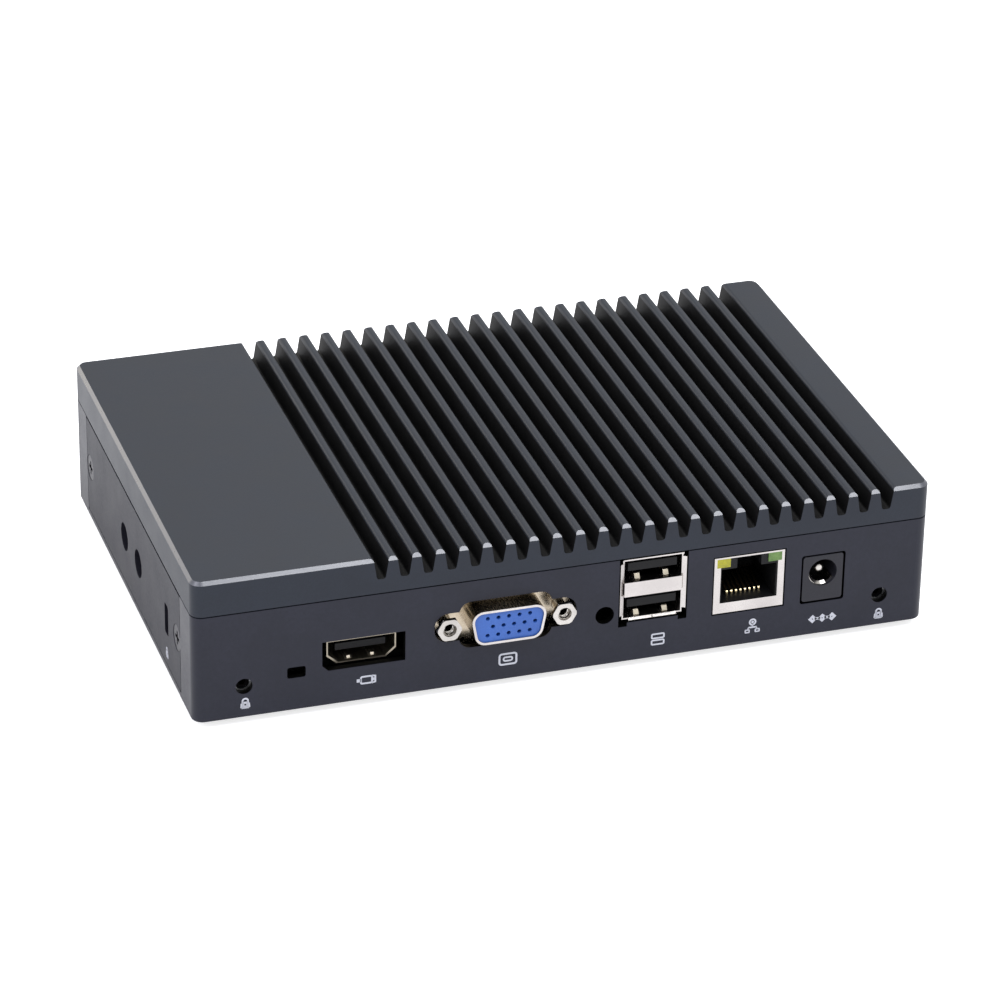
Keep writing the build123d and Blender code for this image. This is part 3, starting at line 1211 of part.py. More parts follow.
for piece in (heatsink_cover, corner_blocks, lower_case, left_side_panel, right_side_panel,
              side_panel_screws, base_screws, lock_screws, rubber_feet, mainboard, board_screws,
              processor, thermal_pad, heat_block, heat_block_screws, memory_chips, storage_card,
              storage_socket, storage_spacer, storage_screw, coin_cell_holder, coin_cell,
              power_chokes, capacitors, controller_chip, network_transformer, power_button,
              switch_plunger, power_switch, status_light_pipe, status_light,
              digital_video_shell, digital_video_insert, analogue_video_shell,
              analogue_video_insulator, analogue_video_body, jack_nuts, twin_data_shell,
              twin_data_insulator, twin_data_base, network_shell, network_insulator, link_light,
              activity_light, network_contacts, power_jack_body, power_jack_pin,
              power_jack_spring):
    export_step(piece.part, f"parts/{piece.part.label}.step")
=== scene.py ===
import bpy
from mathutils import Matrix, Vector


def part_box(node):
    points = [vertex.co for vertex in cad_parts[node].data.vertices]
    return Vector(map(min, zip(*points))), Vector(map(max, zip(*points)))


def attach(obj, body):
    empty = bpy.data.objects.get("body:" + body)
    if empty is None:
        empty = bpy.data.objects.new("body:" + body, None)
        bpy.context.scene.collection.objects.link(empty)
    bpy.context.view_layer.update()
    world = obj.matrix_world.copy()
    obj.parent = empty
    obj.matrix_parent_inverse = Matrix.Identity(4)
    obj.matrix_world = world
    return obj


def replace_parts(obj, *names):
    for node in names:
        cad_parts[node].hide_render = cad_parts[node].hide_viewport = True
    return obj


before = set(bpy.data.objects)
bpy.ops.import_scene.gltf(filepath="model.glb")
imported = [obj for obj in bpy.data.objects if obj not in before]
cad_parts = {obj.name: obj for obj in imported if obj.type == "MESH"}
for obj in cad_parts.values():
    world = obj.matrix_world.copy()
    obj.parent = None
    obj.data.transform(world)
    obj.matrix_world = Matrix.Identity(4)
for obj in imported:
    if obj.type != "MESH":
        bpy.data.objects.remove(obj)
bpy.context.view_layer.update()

import math

import bmesh
import bpy
from mathutils import Matrix, Vector

# A fanless counter computer: black finned heat-sink cover on a shallow coated tub, sockets
# in the front wall. Sizes are in millimetres, measured from the left side of the case,
# behind its front face and over its underside, and turned to metres by spot().

MM = 0.001
CASE_LOW, CASE_HIGH = [Vector(corner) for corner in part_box("lower_case")]
COVER_LOW, COVER_HIGH = [Vector(corner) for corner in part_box("heatsink_cover")]
CASE_WIDTH = (CASE_HIGH.x - CASE_LOW.x) / MM
CASE_DEPTH = (CASE_HIGH.y - CASE_LOW.y) / MM
SMOOTH_ANGLE = math.radians(32)
RIGHT_ANGLE = math.radians(90)


def spot(x, y, z):
    """Point of the row frame, in metres."""
    return CASE_LOW + Vector((x, y, z)) * MM


def box_mm(name):
    """Low and high corner of a CAD piece, in millimetres."""
    return [Vector(corner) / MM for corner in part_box(name)]


# Camera, solved from the edges of the case in the photograph
LENS = 161.647
CAMERA_PLACE = Vector((-266.80, -821.71, 474.28))
CAMERA_RIGHT = Vector((0.953058, -0.302375, 0.015805))
CAMERA_UP = Vector((0.128457, 0.451051, 0.883205))
CAMERA_BACK = Vector((-0.274188, -0.839716, 0.468720))

camera_data = bpy.data.cameras.new("photo_camera")
camera_data.lens = LENS
camera_data.sensor_width = 36.0
camera_data.clip_start = 0.01
camera = bpy.data.objects.new("photo_camera", camera_data)
camera.matrix_world = Matrix.LocRotScale(
    CAMERA_PLACE * MM,
    Matrix((CAMERA_RIGHT, CAMERA_UP, CAMERA_BACK)).transposed().to_quaternion(),
    None,
)
bpy.context.scene.collection.objects.link(camera)
bpy.context.scene.camera = camera
bpy.context.scene.view_settings.view_transform = "Standard"


# Finishes


def srgb(code):
    """Linear colour of an sRGB hex code."""
    parts = [int(code[i:i + 2], 16) / 255 for i in (0, 2, 4)]
    return (*[c / 12.92 if c <= 0.04045 else ((c + 0.055) / 1.055) ** 2.4 for c in parts], 1.0)


def add_node(tree, kind, inputs=None, **settings):
    """One node with its settings and links.

    An input is given a value, an output, a node, which stands for its first output, or a list
    of these where the socket takes several.
    """
    made = tree.nodes.new(kind)
    for name, value in settings.items():
        setattr(made, name, value)
    for name, value in (inputs or {}).items():
        for source in value if isinstance(value, list) else [value]:
            if isinstance(source, bpy.types.Node):
                source = source.outputs[0]
            if isinstance(source, bpy.types.NodeSocket):
                tree.links.new(source, made.inputs[name])
            else:
                made.inputs[name].default_value = source
    return made


def new_material(name):
    """Empty node material and its tree."""
    material = bpy.data.materials.new(name)
    material.use_nodes = True
    material.node_tree.nodes.clear()
    return material, material.node_tree


CLOUD = 8.0                 # size of the slow pattern that every finish has


def grained(name, dark, light, grain, rough, bump=0.0, stretch=(1, 1, 1), metallic=0.0,
            specular=0.5, sheen="ffffff"):
    """Finish with a fine grain and a slow cloud through it, at the default IOR of 1.5.

    dark and light are the ends of its colour, grain the size of its fine pattern in millimetres,
    rough the ends of its roughness, bump the grain's height in millimetres, and sheen the tint of
    its reflections.
    """
    material, tree = new_material(name)
    place = add_node(tree, "ShaderNodeTexCoord").outputs["Object"]
    turned = add_node(tree, "ShaderNodeMapping", {"Vector": place, "Scale": stretch})
    fine = add_node(tree, "ShaderNodeTexNoise", {
        "Vector": turned, "Scale": 1 / (grain * MM), "Detail": 3.0, "Roughness": 0.6})
    slow = add_node(tree, "ShaderNodeTexNoise", {
        "Vector": turned, "Scale": 1 / (CLOUD * MM), "Detail": 2.0})
    both = add_node(tree, "ShaderNodeMath", {0: fine, 1: slow}, operation="MULTIPLY")
    share = add_node(tree, "ShaderNodeMapRange", {"Value": both, "From Min": 0.12, "From Max": 0.4})
    colour = add_node(tree, "ShaderNodeMix", {
        "Factor": share, 6: srgb(dark), 7: srgb(light)}, data_type="RGBA").outputs[2]
    roughness = add_node(tree, "ShaderNodeMapRange", {
        "Value": both, "From Min": 0.1, "From Max": 0.45, "To Min": rough[0], "To Max": rough[1]})
    shader = add_node(tree, "ShaderNodeBsdfPrincipled", {
        "Base Color": colour, "Roughness": roughness, "Metallic": metallic,
        "Specular IOR Level": specular, "Specular Tint": srgb(sheen)})
    if bump:
        relief = add_node(tree, "ShaderNodeBump", {
            "Height": fine, "Strength": 1.0, "Distance": bump * MM}).outputs["Normal"]
        tree.links.new(relief, shader.inputs["Normal"])
    add_node(tree, "ShaderNodeOutputMaterial", {"Surface": shader})
    return material


# Aluminium, bead-blasted and black anodised: a dry satin with a fine even grain
anodised_cover = grained("blasted_black_anodised_aluminium", "151920", "1b2028", 0.35,
                         (0.42, 0.5), bump=0.012, specular=0.36, sheen="eef2ff")
# The same in the grooves, painted a deeper black and without sheen as shade
groove_shade = grained("black_anodised_groove_painted_shade", "0c0c0d", "111112", 0.35, (0.5, 0.6),
                      specular=0.14)
# The same, milled after blasting: smoother, and lighter in colour as a painted highlight, so that
# the edges shine
milled_edge_highlight = grained("milled_black_anodised_edge_highlight", "383a44", "464852", 0.5, (0.26, 0.34),
                   specular=1.0)
# Steel sheet, smooth black powder coat: faint orange peel, slightly softer shine
coated_tub = grained("smooth_black_powder_coat", "191a23", "1f202a", 0.9, (0.36, 0.44), bump=0.01,
                     specular=0.29, sheen="f4f6ff")
# The side panels have the same coat, sprayed drier
coated_panel = grained("dry_black_powder_coat", "18181f", "1e1e26", 0.7, (0.44, 0.54), bump=0.012,
                       specular=0.2, sheen="eceeff")
# Steel screws, black zinc plated: dark satin metal with a grey sheen
zinc_screw = grained("black_zinc_steel", "2a2a2f", "3b3b41", 0.3, (0.34, 0.48), metallic=1.0)
# Set screws, blackened in hot salt: almost no sheen
black_oxide = grained("black_oxide_steel", "0c0c0d", "161617", 0.3, (0.45, 0.6), metallic=1.0)
# Steel sheet, bright tin plated: rolled lines, cool white shine
tinned_steel = grained("bright_tin_plate", "b3aeab", "cbc6c2", 0.25, (0.16, 0.3), bump=0.002,
                       stretch=(1, 0.15, 1), metallic=1.0)
# The same sheet, drawn deep for the analogue shell and its flange: a warmer, straw-coloured shine
drawn_tin = grained("drawn_tin_plate", "a89c88", "c8bca8", 0.3, (0.18, 0.32), bump=0.003,
                    stretch=(1, 0.15, 1), metallic=1.0)
# The same sheet, painted darker as shade, for the deep-set video shell and the springs inside the
# sockets
shaded_tin = grained("tin_plate_painted_shade", "8f887a", "a69e8e", 0.25, (0.28, 0.42), bump=0.003,
                     stretch=(1, 0.15, 1), metallic=1.0)
# Steel, nickel plated and turned: a cool grey shine
nickel_steel = grained("nickel_plated_steel", "aaa6a1", "cac6c0", 0.2, (0.14, 0.26), metallic=1.0)
# Copper alloy, flashed with gold: a pale yellow shine
gold_flash = grained("gold_flashed_contact", "e8cf98", "ffeec4", 0.2, (0.2, 0.34), metallic=1.0)
# The contact wires past their gilt tips: bare brown spring metal, painted darker as shade for the
# dark of the socket
shaded_bronze = grained("bare_spring_bronze_painted_shade", "3a2f22", "4a3d2c", 0.2, (0.4, 0.5), metallic=1.0)
# Glass-filled nylon, moulded black: faintly grey, small sparkle of fibres
black_nylon = grained("glass_filled_black_nylon", "0b0b0c", "131315", 0.15, (0.45, 0.6), bump=0.004,
                      specular=0.22)
# The same, moulded in blue for the analogue socket
blue_nylon = grained("moulded_blue_nylon", "2d58a6", "3562b2", 0.2, (0.34, 0.48), bump=0.003)
# The same in white, for the lamp behind the light pipe
white_nylon = grained("moulded_white_nylon", "c8c4b8", "d8d4c8", 0.2, (0.34, 0.48), bump=0.003)
# Socket housing of the power lead: the same nylon with a dark satin skin
jack_nylon = grained("satin_black_nylon", "1d1d24", "24242b", 0.4, (0.36, 0.46), bump=0.004,
                     specular=0.3)
# Tinted and plain clear mouldings, unlit: smooth, with a small bright shine
yellow_lens = grained("tinted_yellow_lens", "8f8c06", "b4ae14", 1.2, (0.15, 0.25))
green_lens = grained("tinted_green_lens", "47692a", "6c8c46", 1.2, (0.15, 0.25))
clear_lens = grained("clear_lens", "b8bcc0", "d0d4d8", 1.2, (0.1, 0.2))
# Glass-fibre board under solder mask: smooth and nearly black
solder_mask = grained("black_solder_mask", "08090a", "0d0f10", 0.5, (0.35, 0.5), bump=0.01,
                      specular=0.3)
# Epoxy chip package: dark, dusty matt
chip_epoxy = grained("moulded_chip_epoxy", "121213", "1c1c1e", 0.2, (0.5, 0.65), bump=0.006)
# Natural rubber, moulded: dull black
foot_rubber = grained("matt_black_rubber", "0b0b0b", "151515", 0.5, (0.7, 0.85), bump=0.02)
# Aluminium as milled: pale, with fine lines along the cut
milled_aluminium = grained("milled_aluminium", "a9abad", "c4c6c8", 0.3, (0.28, 0.42), bump=0.004,
                           stretch=(1, 0.1, 1), metallic=1.0)
# Silicone pad, soft and filled: dull pale grey
silicone_pad = grained("grey_silicone_pad", "8a8e94", "9ea2a8", 0.5, (0.6, 0.75), bump=0.01)
# Screen print in light grey ink: a flat dry film, slightly raised
screen_ink = grained("light_grey_screen_print", "b6b8c2", "c8cad2", 0.15, (0.5, 0.6), bump=0.004)

NODE_FINISHES = {
    anodised_cover: ["heatsink_cover"],
    coated_tub: ["lower_case"],
    coated_panel: ["left_side_panel", "right_side_panel"],
    zinc_screw: ["side_panel_screws", "base_screws", "lock_screws"],
    foot_rubber: ["rubber_feet"],
    solder_mask: ["mainboard", "storage_card"],
    chip_epoxy: ["processor", "memory_chips", "power_chokes", "controller_chip",
                 "network_transformer"],
    milled_aluminium: ["corner_blocks", "heat_block", "capacitors"],
    silicone_pad: ["thermal_pad"],
    nickel_steel: ["board_screws", "heat_block_screws", "storage_spacer", "storage_screw",
                   "coin_cell", "jack_nuts", "power_jack_pin", "power_jack_spring"],
    black_nylon: ["storage_socket", "coin_cell_holder", "switch_plunger", "power_switch",
                  "digital_video_insert", "analogue_video_body", "twin_data_insulator",
                  "twin_data_base", "network_insulator"],
    jack_nylon: ["power_jack_body", "power_button"],
    clear_lens: ["status_light_pipe"],
    white_nylon: ["status_light"],
    tinned_steel: ["twin_data_shell", "network_shell"],
    drawn_tin: ["analogue_video_shell"],
    shaded_tin: ["digital_video_shell"],
    blue_nylon: ["analogue_video_insulator"],
    yellow_lens: ["link_light"],
    green_lens: ["activity_light"],
    gold_flash: ["network_contacts"],
}


# Painted shade in the openings of the front wall, from just behind its face
SHADE_BOX_LOW, SHADE_BOX_HIGH = spot(4.0, 0.15, 5.0), spot(CASE_WIDTH - 4.0, 9.0, 26.0)
PAINTED_SHADE_BLACK, PAINTED_SHADE_SHINE = "070706", 0.05


def paint_shade_in_box(material, low, high):
    """Paint shade into a finish inside a box: nearly black and with little shine, as in the depth
    of the openings.
    """
    tree = material.node_tree
    shader = tree.nodes["Principled BSDF"]
    place = add_node(tree, "ShaderNodeTexCoord").outputs["Object"]
    off = add_node(tree, "ShaderNodeVectorMath", {0: place, 1: (low + high) / 2},
                   operation="SUBTRACT")
    apart = add_node(tree, "ShaderNodeVectorMath", {0: off}, operation="ABSOLUTE")
    past = add_node(tree, "ShaderNodeVectorMath", {0: apart, 1: (high - low) / 2},
                    operation="SUBTRACT")
    x, y, z = add_node(tree, "ShaderNodeSeparateXYZ", {0: past}).outputs
    flat = add_node(tree, "ShaderNodeMath", {0: x, 1: y}, operation="MAXIMUM")
    most = add_node(tree, "ShaderNodeMath", {0: flat, 1: z}, operation="MAXIMUM")
    inside = add_node(tree, "ShaderNodeMath", {0: most, 1: 0.0}, operation="LESS_THAN")
    colour, level = shader.inputs["Base Color"], shader.inputs["Specular IOR Level"]
    # Painted shade: inside the box the colour turns nearly black and the shine drops
    dark = add_node(tree, "ShaderNodeMix", {
        "Factor": inside, 6: colour.links[0].from_socket, 7: srgb(PAINTED_SHADE_BLACK)}, data_type="RGBA")
    shine = add_node(tree, "ShaderNodeMapRange", {
        "Value": inside, "To Min": level.default_value, "To Max": PAINTED_SHADE_SHINE})
    tree.links.new(dark.outputs[2], colour)
    tree.links.new(shine.outputs["Result"], level)


# The tub's coat gets painted shade in the openings of the front wall
paint_shade_in_box(coated_tub, SHADE_BOX_LOW, SHADE_BOX_HIGH)
for finish, names in NODE_FINISHES.items():
    for name in names:
        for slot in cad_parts[name].material_slots:
            slot.material = finish


# Meshes


def make_piece(name, mesh, finish):
    """Object at the origin that rides on the case, with this finish."""
    mesh.materials.clear()
    mesh.materials.append(finish)
    piece = bpy.data.objects.new(name, mesh)
    bpy.context.scene.collection.objects.link(piece)
    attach(piece, "case")
    return piece


MITRE_LIMIT = 0.3           # keeps the corners of sharp bends short


def add_stroke(mesh, points, width, closed):
    """Flat line of this width through points of a drawing, with mitred corners."""
    points = [Vector(point) for point in points]
    count = len(points)
    pairs = []
    for i, point in enumerate(points):
        before = points[i - 1] if closed or i else None
        after = points[(i + 1) % count] if closed or i + 1 < count else None
        along_in = (point - before).normalized() if before is not None else None
        along_out = (after - point).normalized() if after is not None else along_in
        along_in = along_in if along_in is not None else along_out
        side = (along_in + along_out).orthogonal().normalized()
        reach = width / 2 / max(MITRE_LIMIT, side.dot(along_out.orthogonal()))
        pairs.append([mesh.verts.new((*(point + side * reach * way), 0)) for way in (1, -1)])
    for i in range(count if closed else count - 1):
        (a, b), (c, d) = pairs[i], pairs[(i + 1) % count]
        mesh.faces.new((a, b, d, c))


def circle(centre, radius, steps=24, start=0.0, sweep=360.0):
    """Points of a circle or an arc of a drawing."""
    last = steps if sweep < 360 else steps - 1
    angles = [math.radians(start + sweep * i / steps) for i in range(last + 1)]
    return [(centre[0] + radius * math.cos(a), centre[1] + radius * math.sin(a)) for a in angles]


def rounded(centre, width, height, radius, steps=4):
    """Points of a rectangle with rounded corners."""
    points = []
    for sx, sy, start in ((1, 1, 0), (-1, 1, 90), (-1, -1, 180), (1, -1, 270)):
        middle = (centre[0] + sx * (width / 2 - radius), centre[1] + sy * (height / 2 - radius))
        points += circle(middle, radius, steps, start, 90)
    return points


# Pieces that node trees make. The trees work in millimetres in the row frame, and turn their
# result to metres at the end.

CASE_MM = CASE_LOW / MM
CASE_MIDDLE = (CASE_LOW + CASE_HIGH) / 2 / MM
SIDEWAYS, BACKWARDS, UPWARDS = Vector((1, 0, 0)), Vector((0, 1, 0)), Vector((0, 0, 1))


def size_tree(name, sizes):
    """Empty node tree with its points, one named input for each size, and its finish."""
    tree = bpy.data.node_groups.new(name, "GeometryNodeTree")
    tree.interface.new_socket("Points", in_out="INPUT", socket_type="NodeSocketGeometry")
    kinds = {int: "NodeSocketInt", float: "NodeSocketFloat", Vector: "NodeSocketVector"}
    for size, value in sizes.items():
        tree.interface.new_socket(size, in_out="INPUT", socket_type=kinds[type(value)])
    tree.interface.new_socket("Finish", in_out="INPUT", socket_type="NodeSocketMaterial")
    tree.interface.new_socket("Piece", in_out="OUTPUT", socket_type="NodeSocketGeometry")
    return tree, add_node(tree, "NodeGroupInput").outputs


def end_tree(tree, shape, finish):
    """Realize the shape, turn it to metres, give it its finish and put it out."""
    whole = add_node(tree, "GeometryNodeRealizeInstances", {"Geometry": shape})
    metres = add_node(tree, "GeometryNodeTransform", {"Geometry": whole, "Scale": (MM, MM, MM)})
    done = add_node(tree, "GeometryNodeSetMaterial", {"Geometry": metres, "Material": finish})
    add_node(tree, "NodeGroupOutput", {"Piece": done})


def stand_outward(tree, size, shape):
    """Stand the shape at every point, turned the way the point faces, and end the tree."""
    outward = add_node(tree, "GeometryNodeInputNamedAttribute", {"Name": "outward"},
                       data_type="FLOAT_VECTOR")
    turn = add_node(tree, "FunctionNodeAlignRotationToVector", {"Vector": outward}, axis="Z")
    stood = add_node(tree, "GeometryNodeInstanceOnPoints", {
        "Points": size["Points"], "Instance": shape, "Rotation": turn})
    end_tree(tree, stood, size["Finish"])


def grow(name, tree, sizes, finish, points, edges=(), outward=(), bend=()):
    """Plain mesh that a node tree makes from points, its sizes and a finish.

    outward is the direction each point faces, and bend the kind of corner it is.
    """
    drawing = bpy.data.meshes.new(name + "_drawing")
    drawing.from_pydata(points, edges, [])
    facing = drawing.attributes.new("outward", "FLOAT_VECTOR", "POINT")
    for step, way in enumerate(outward):
        facing.data[step].vector = way
    corner = drawing.attributes.new("bend", "INT", "POINT")
    for step, kind in enumerate(bend):
        corner.data[step].value = kind
    holder = bpy.data.objects.new(name + "_drawing", drawing)
    bpy.context.scene.collection.objects.link(holder)
    modifier = holder.modifiers.new(name, "NODES")
    modifier.node_group = tree
    for item in tree.interface.items_tree:
        if item.in_out == "INPUT" and item.name in sizes:
            modifier[item.identifier] = sizes[item.name]
        elif item.name == "Finish":
            modifier[item.identifier] = finish
    seen = holder.evaluated_get(bpy.context.evaluated_depsgraph_get())
    mesh = bpy.data.meshes.new_from_object(seen)
    mesh.name = name
    holder.modifiers.remove(modifier)
    bpy.data.objects.remove(holder)
    mesh.shade_smooth()
    mesh.set_sharp_from_angle(angle=SMOOTH_ANGLE)
    return mesh


# Finned cover: a block that stands over a shadow gap, with a chamfered top, a hollow underside
# and a row of round-bottomed grooves
COVER_PAD_DROP = 1.3        # pad over the processor, below the foot of the cover
GROOVE_OVERRUN = 4.0        # the cutters are longer than the cover is deep
WELD = 0.001                # corners this close become one
NO_LIMIT = 100.0            # leaves z free where x and y are held
COVER_SIZES = {
    "Outside": Vector((COVER_HIGH.x - COVER_LOW.x, COVER_HIGH.y - COVER_LOW.y, 0)) / MM,
    "Height": (COVER_HIGH.z - COVER_LOW.z) / MM - COVER_PAD_DROP,
    "Corner Radius": 2.5,
    "Chamfer": 0.7,
    "Shadow Height": 0.26,
    "Shadow Depth": 0.6,
    "Hollow": Vector((154.4, 99.3, 1.7)),
    "Land Hollow": Vector((33.1, 99.3, 5.6)),
    "Land Hollow Place": Vector((-60.65, 0, 0)),
    "Corner Block": Vector((12.5, 15.2, 30.0)),
    "Corner Spread": Vector((144.9, 87.1, 0)),
    "Heat Pad": Vector((50.0, 50.0, 3.0)),
    "Heat Pad Place": Vector((2.01, 1.374, 0.2)),
    "Case Screw Spread": Vector((144.8, 79.7, 0)),
    "Case Screw Hole": 1.5,
    "Case Screw Reach": 2.65,
    "Pad Screw Spread": Vector((38.0, 38.0, 0)),
    "Pad Screw Hole": 1.25,
    "Pad Screw Reach": 1.51,
    "Groove Count": 23,
    "Groove Pitch": 5.04,
    "First Groove": -40.525,
    "Groove Floor Radius": 0.6,
    "Fin Tip Radius": 0.8,
}
GROOVE_TOP, GROOVE_FLOOR, GROOVE_DEPTH = 3.31, 1.8, 4.7


def cover_tree():
    """Tree of the finned cover; its points are one groove's corners, floor corners first."""
    tree, size = size_tree("finned_cover", COVER_SIZES)
    up = add_node(tree, "ShaderNodeCombineXYZ", {"Z": 1.0})
    width, depth, _ = add_node(tree, "ShaderNodeSeparateXYZ", {"Vector": size["Outside"]}).outputs
    # Outline with round corners, and for each of its points the middle of its corner
    frame_line = add_node(tree, "GeometryNodeCurvePrimitiveQuadrilateral", {
        "Width": width, "Height": depth})
    outline = add_node(tree, "GeometryNodeFilletCurve", {
        "Curve": frame_line, "Count": 7, "Radius": size["Corner Radius"]}, mode="POLY")
    place = add_node(tree, "GeometryNodeInputPosition")
    radius = add_node(tree, "ShaderNodeCombineXYZ", {
        "X": size["Corner Radius"], "Y": size["Corner Radius"], "Z": -NO_LIMIT})
    half = add_node(tree, "ShaderNodeVectorMath", {0: size["Outside"], "Scale": 0.5},
                    operation="SCALE")
    reach = add_node(tree, "ShaderNodeVectorMath", {0: half, 1: radius}, operation="SUBTRACT")
    back = add_node(tree, "ShaderNodeVectorMath", {0: reach, "Scale": -1.0}, operation="SCALE")
    low = add_node(tree, "ShaderNodeVectorMath", {0: place, 1: back}, operation="MAXIMUM")
    middle = add_node(tree, "ShaderNodeVectorMath", {0: low, 1: reach}, operation="MINIMUM")
    spoke = add_node(tree, "ShaderNodeVectorMath", {0: place, 1: middle}, operation="SUBTRACT")
    # Shares of the corner radius left at the shadow gap and at the top of the chamfer
    gap_radius = add_node(tree, "ShaderNodeMath", {
        0: size["Corner Radius"], 1: size["Shadow Depth"]}, operation="SUBTRACT")
    gap_share = add_node(tree, "ShaderNodeMath", {
        0: gap_radius, 1: size["Corner Radius"]}, operation="DIVIDE")
    out_share = add_node(tree, "ShaderNodeMath", {
        0: size["Corner Radius"], 1: gap_radius}, operation="DIVIDE")
    top_radius = add_node(tree, "ShaderNodeMath", {
        0: size["Corner Radius"], 1: size["Chamfer"]}, operation="SUBTRACT")
    top_share = add_node(tree, "ShaderNodeMath", {
        0: top_radius, 1: size["Corner Radius"]}, operation="DIVIDE")
    no_gap = add_node(tree, "ShaderNodeMath", {
        0: size["Height"], 1: size["Shadow Height"]}, operation="SUBTRACT")
    wall = add_node(tree, "ShaderNodeMath", {
        0: no_gap, 1: size["Chamfer"]}, operation="SUBTRACT")
    plate = add_node(tree, "GeometryNodeFillCurve", {"Curve": outline}, mode="NGONS")
    moved = add_node(tree, "ShaderNodeVectorMath", {0: spoke, "Scale": gap_share},
                     operation="SCALE")
    target = add_node(tree, "ShaderNodeVectorMath", {0: middle, 1: moved})
    foot = add_node(tree, "GeometryNodeSetPosition", {"Geometry": plate, "Position": target})
    # The block rises in steps, each with its height and its share of the radius
    shell, top = foot, None
    for rise, share in ((size["Shadow Height"], None), (0.0, out_share), (wall, None),
                        (size["Chamfer"], top_share)):
        raised = add_node(tree, "GeometryNodeExtrudeMesh", {
            "Mesh": shell, "Offset": up, "Offset Scale": rise, "Individual": False})
        if top is not None:
            tree.links.new(top, raised.inputs["Selection"])
        shell, top = raised.outputs["Mesh"], raised.outputs["Top"]
        if share is not None:
            moved = add_node(tree, "ShaderNodeVectorMath", {0: spoke, "Scale": share},
                             operation="SCALE")
            target = add_node(tree, "ShaderNodeVectorMath", {0: middle, 1: moved})
            shell = add_node(tree, "GeometryNodeSetPosition", {
                "Geometry": shell, "Selection": top, "Position": target})
    underside = add_node(tree, "GeometryNodeFlipFaces", {"Mesh": foot})
    both = add_node(tree, "GeometryNodeJoinGeometry", {"Geometry": [shell, underside]})
    block = add_node(tree, "GeometryNodeMergeByDistance", {"Geometry": both, "Distance": WELD})
    # Boxes and screw holes; a cutter is twice as tall as its cut, with its middle on the underside
    boxes = {}
    for box in ("Hollow", "Land Hollow", "Corner Block", "Heat Pad"):
        tall = 1 if box == "Heat Pad" else 2
        doubled = add_node(tree, "ShaderNodeVectorMath", {0: size[box], 1: (1, 1, tall)},
                           operation="MULTIPLY")
        boxes[box] = add_node(tree, "GeometryNodeMeshCube", {"Size": doubled})
    for box in ("Land Hollow", "Heat Pad"):
        boxes[box] = add_node(tree, "GeometryNodeTransform", {
            "Geometry": boxes[box], "Translation": size[box + " Place"]})
    for hole in ("Case Screw", "Pad Screw"):
        doubled = add_node(tree, "ShaderNodeMath", {0: size[hole + " Reach"], 1: 2.0},
                           operation="MULTIPLY")
        boxes[hole] = add_node(tree, "GeometryNodeMeshCylinder", {
            "Vertices": 24, "Radius": size[hole + " Hole"], "Depth": doubled})
    for box, spread in (("Corner Block", "Corner Spread"), ("Case Screw", "Case Screw Spread"),
                        ("Pad Screw", "Pad Screw Spread")):
        across, along, _ = add_node(tree, "ShaderNodeSeparateXYZ", {
            "Vector": size[spread]}).outputs
        grid = add_node(tree, "GeometryNodeMeshGrid", {
            "Vertices X": 2, "Vertices Y": 2, "Size X": across, "Size Y": along})
        four = add_node(tree, "GeometryNodeInstanceOnPoints", {
            "Points": grid, "Instance": boxes[box]})
        boxes[box] = add_node(tree, "GeometryNodeRealizeInstances", {"Geometry": four})
    pad_holes = add_node(tree, "GeometryNodeTransform", {
        "Geometry": boxes["Pad Screw"], "Translation": size["Heat Pad Place"]})
    # Hollow underside, but for its four corners
    hollow = add_node(tree, "GeometryNodeMeshBoolean", {
        "Mesh 2": [boxes["Hollow"], boxes["Land Hollow"]]}, operation="UNION", solver="EXACT")
    shaped = add_node(tree, "GeometryNodeMeshBoolean", {
        "Mesh 1": hollow, "Mesh 2": boxes["Corner Block"]}, operation="DIFFERENCE", solver="EXACT")
    # One groove, rounded, swept from front to back and repeated
    drawing = add_node(tree, "GeometryNodeMeshToCurve", {"Mesh": size["Points"]})
    kind = add_node(tree, "GeometryNodeInputNamedAttribute", {"Name": "bend"}, data_type="INT")
    radius = add_node(tree, "GeometryNodeIndexSwitch", {"Index": kind, 1: 0.0}, data_type="FLOAT")
    radius.index_switch_items.new()
    tree.links.new(size["Groove Floor Radius"], radius.inputs[2])
    tree.links.new(size["Fin Tip Radius"], radius.inputs[3])
    section = add_node(tree, "GeometryNodeFilletCurve", {
        "Curve": drawing, "Count": 5, "Radius": radius}, mode="POLY")
    face = add_node(tree, "GeometryNodeFillCurve", {"Curve": section}, mode="NGONS")
    length = add_node(tree, "ShaderNodeMath", {0: depth, 1: GROOVE_OVERRUN}, operation="ADD")
    swept = add_node(tree, "GeometryNodeExtrudeMesh", {
        "Mesh": face, "Offset": up, "Offset Scale": length, "Individual": False})
    lid = add_node(tree, "GeometryNodeFlipFaces", {"Mesh": face})
    ends = add_node(tree, "GeometryNodeJoinGeometry", {"Geometry": [swept, lid]})
    closed = add_node(tree, "GeometryNodeMergeByDistance", {"Geometry": ends, "Distance": WELD})
    start = add_node(tree, "ShaderNodeMath", {0: length, 1: 0.5}, operation="MULTIPLY")
    laid = add_node(tree, "GeometryNodeTransform", {
        "Geometry": closed, "Rotation": (RIGHT_ANGLE, 0, 0),
        "Translation": add_node(tree, "ShaderNodeCombineXYZ", {"Y": start, "Z": size["Height"]})})
    row = add_node(tree, "GeometryNodeMeshLine", {
        "Count": size["Groove Count"],
        "Start Location": add_node(tree, "ShaderNodeCombineXYZ", {"X": size["First Groove"]}),
        "Offset": add_node(tree, "ShaderNodeCombineXYZ", {"X": size["Groove Pitch"]})})
    grooves = add_node(tree, "GeometryNodeInstanceOnPoints", {"Points": row, "Instance": laid})
    cutters = add_node(tree, "GeometryNodeRealizeInstances", {"Geometry": grooves})
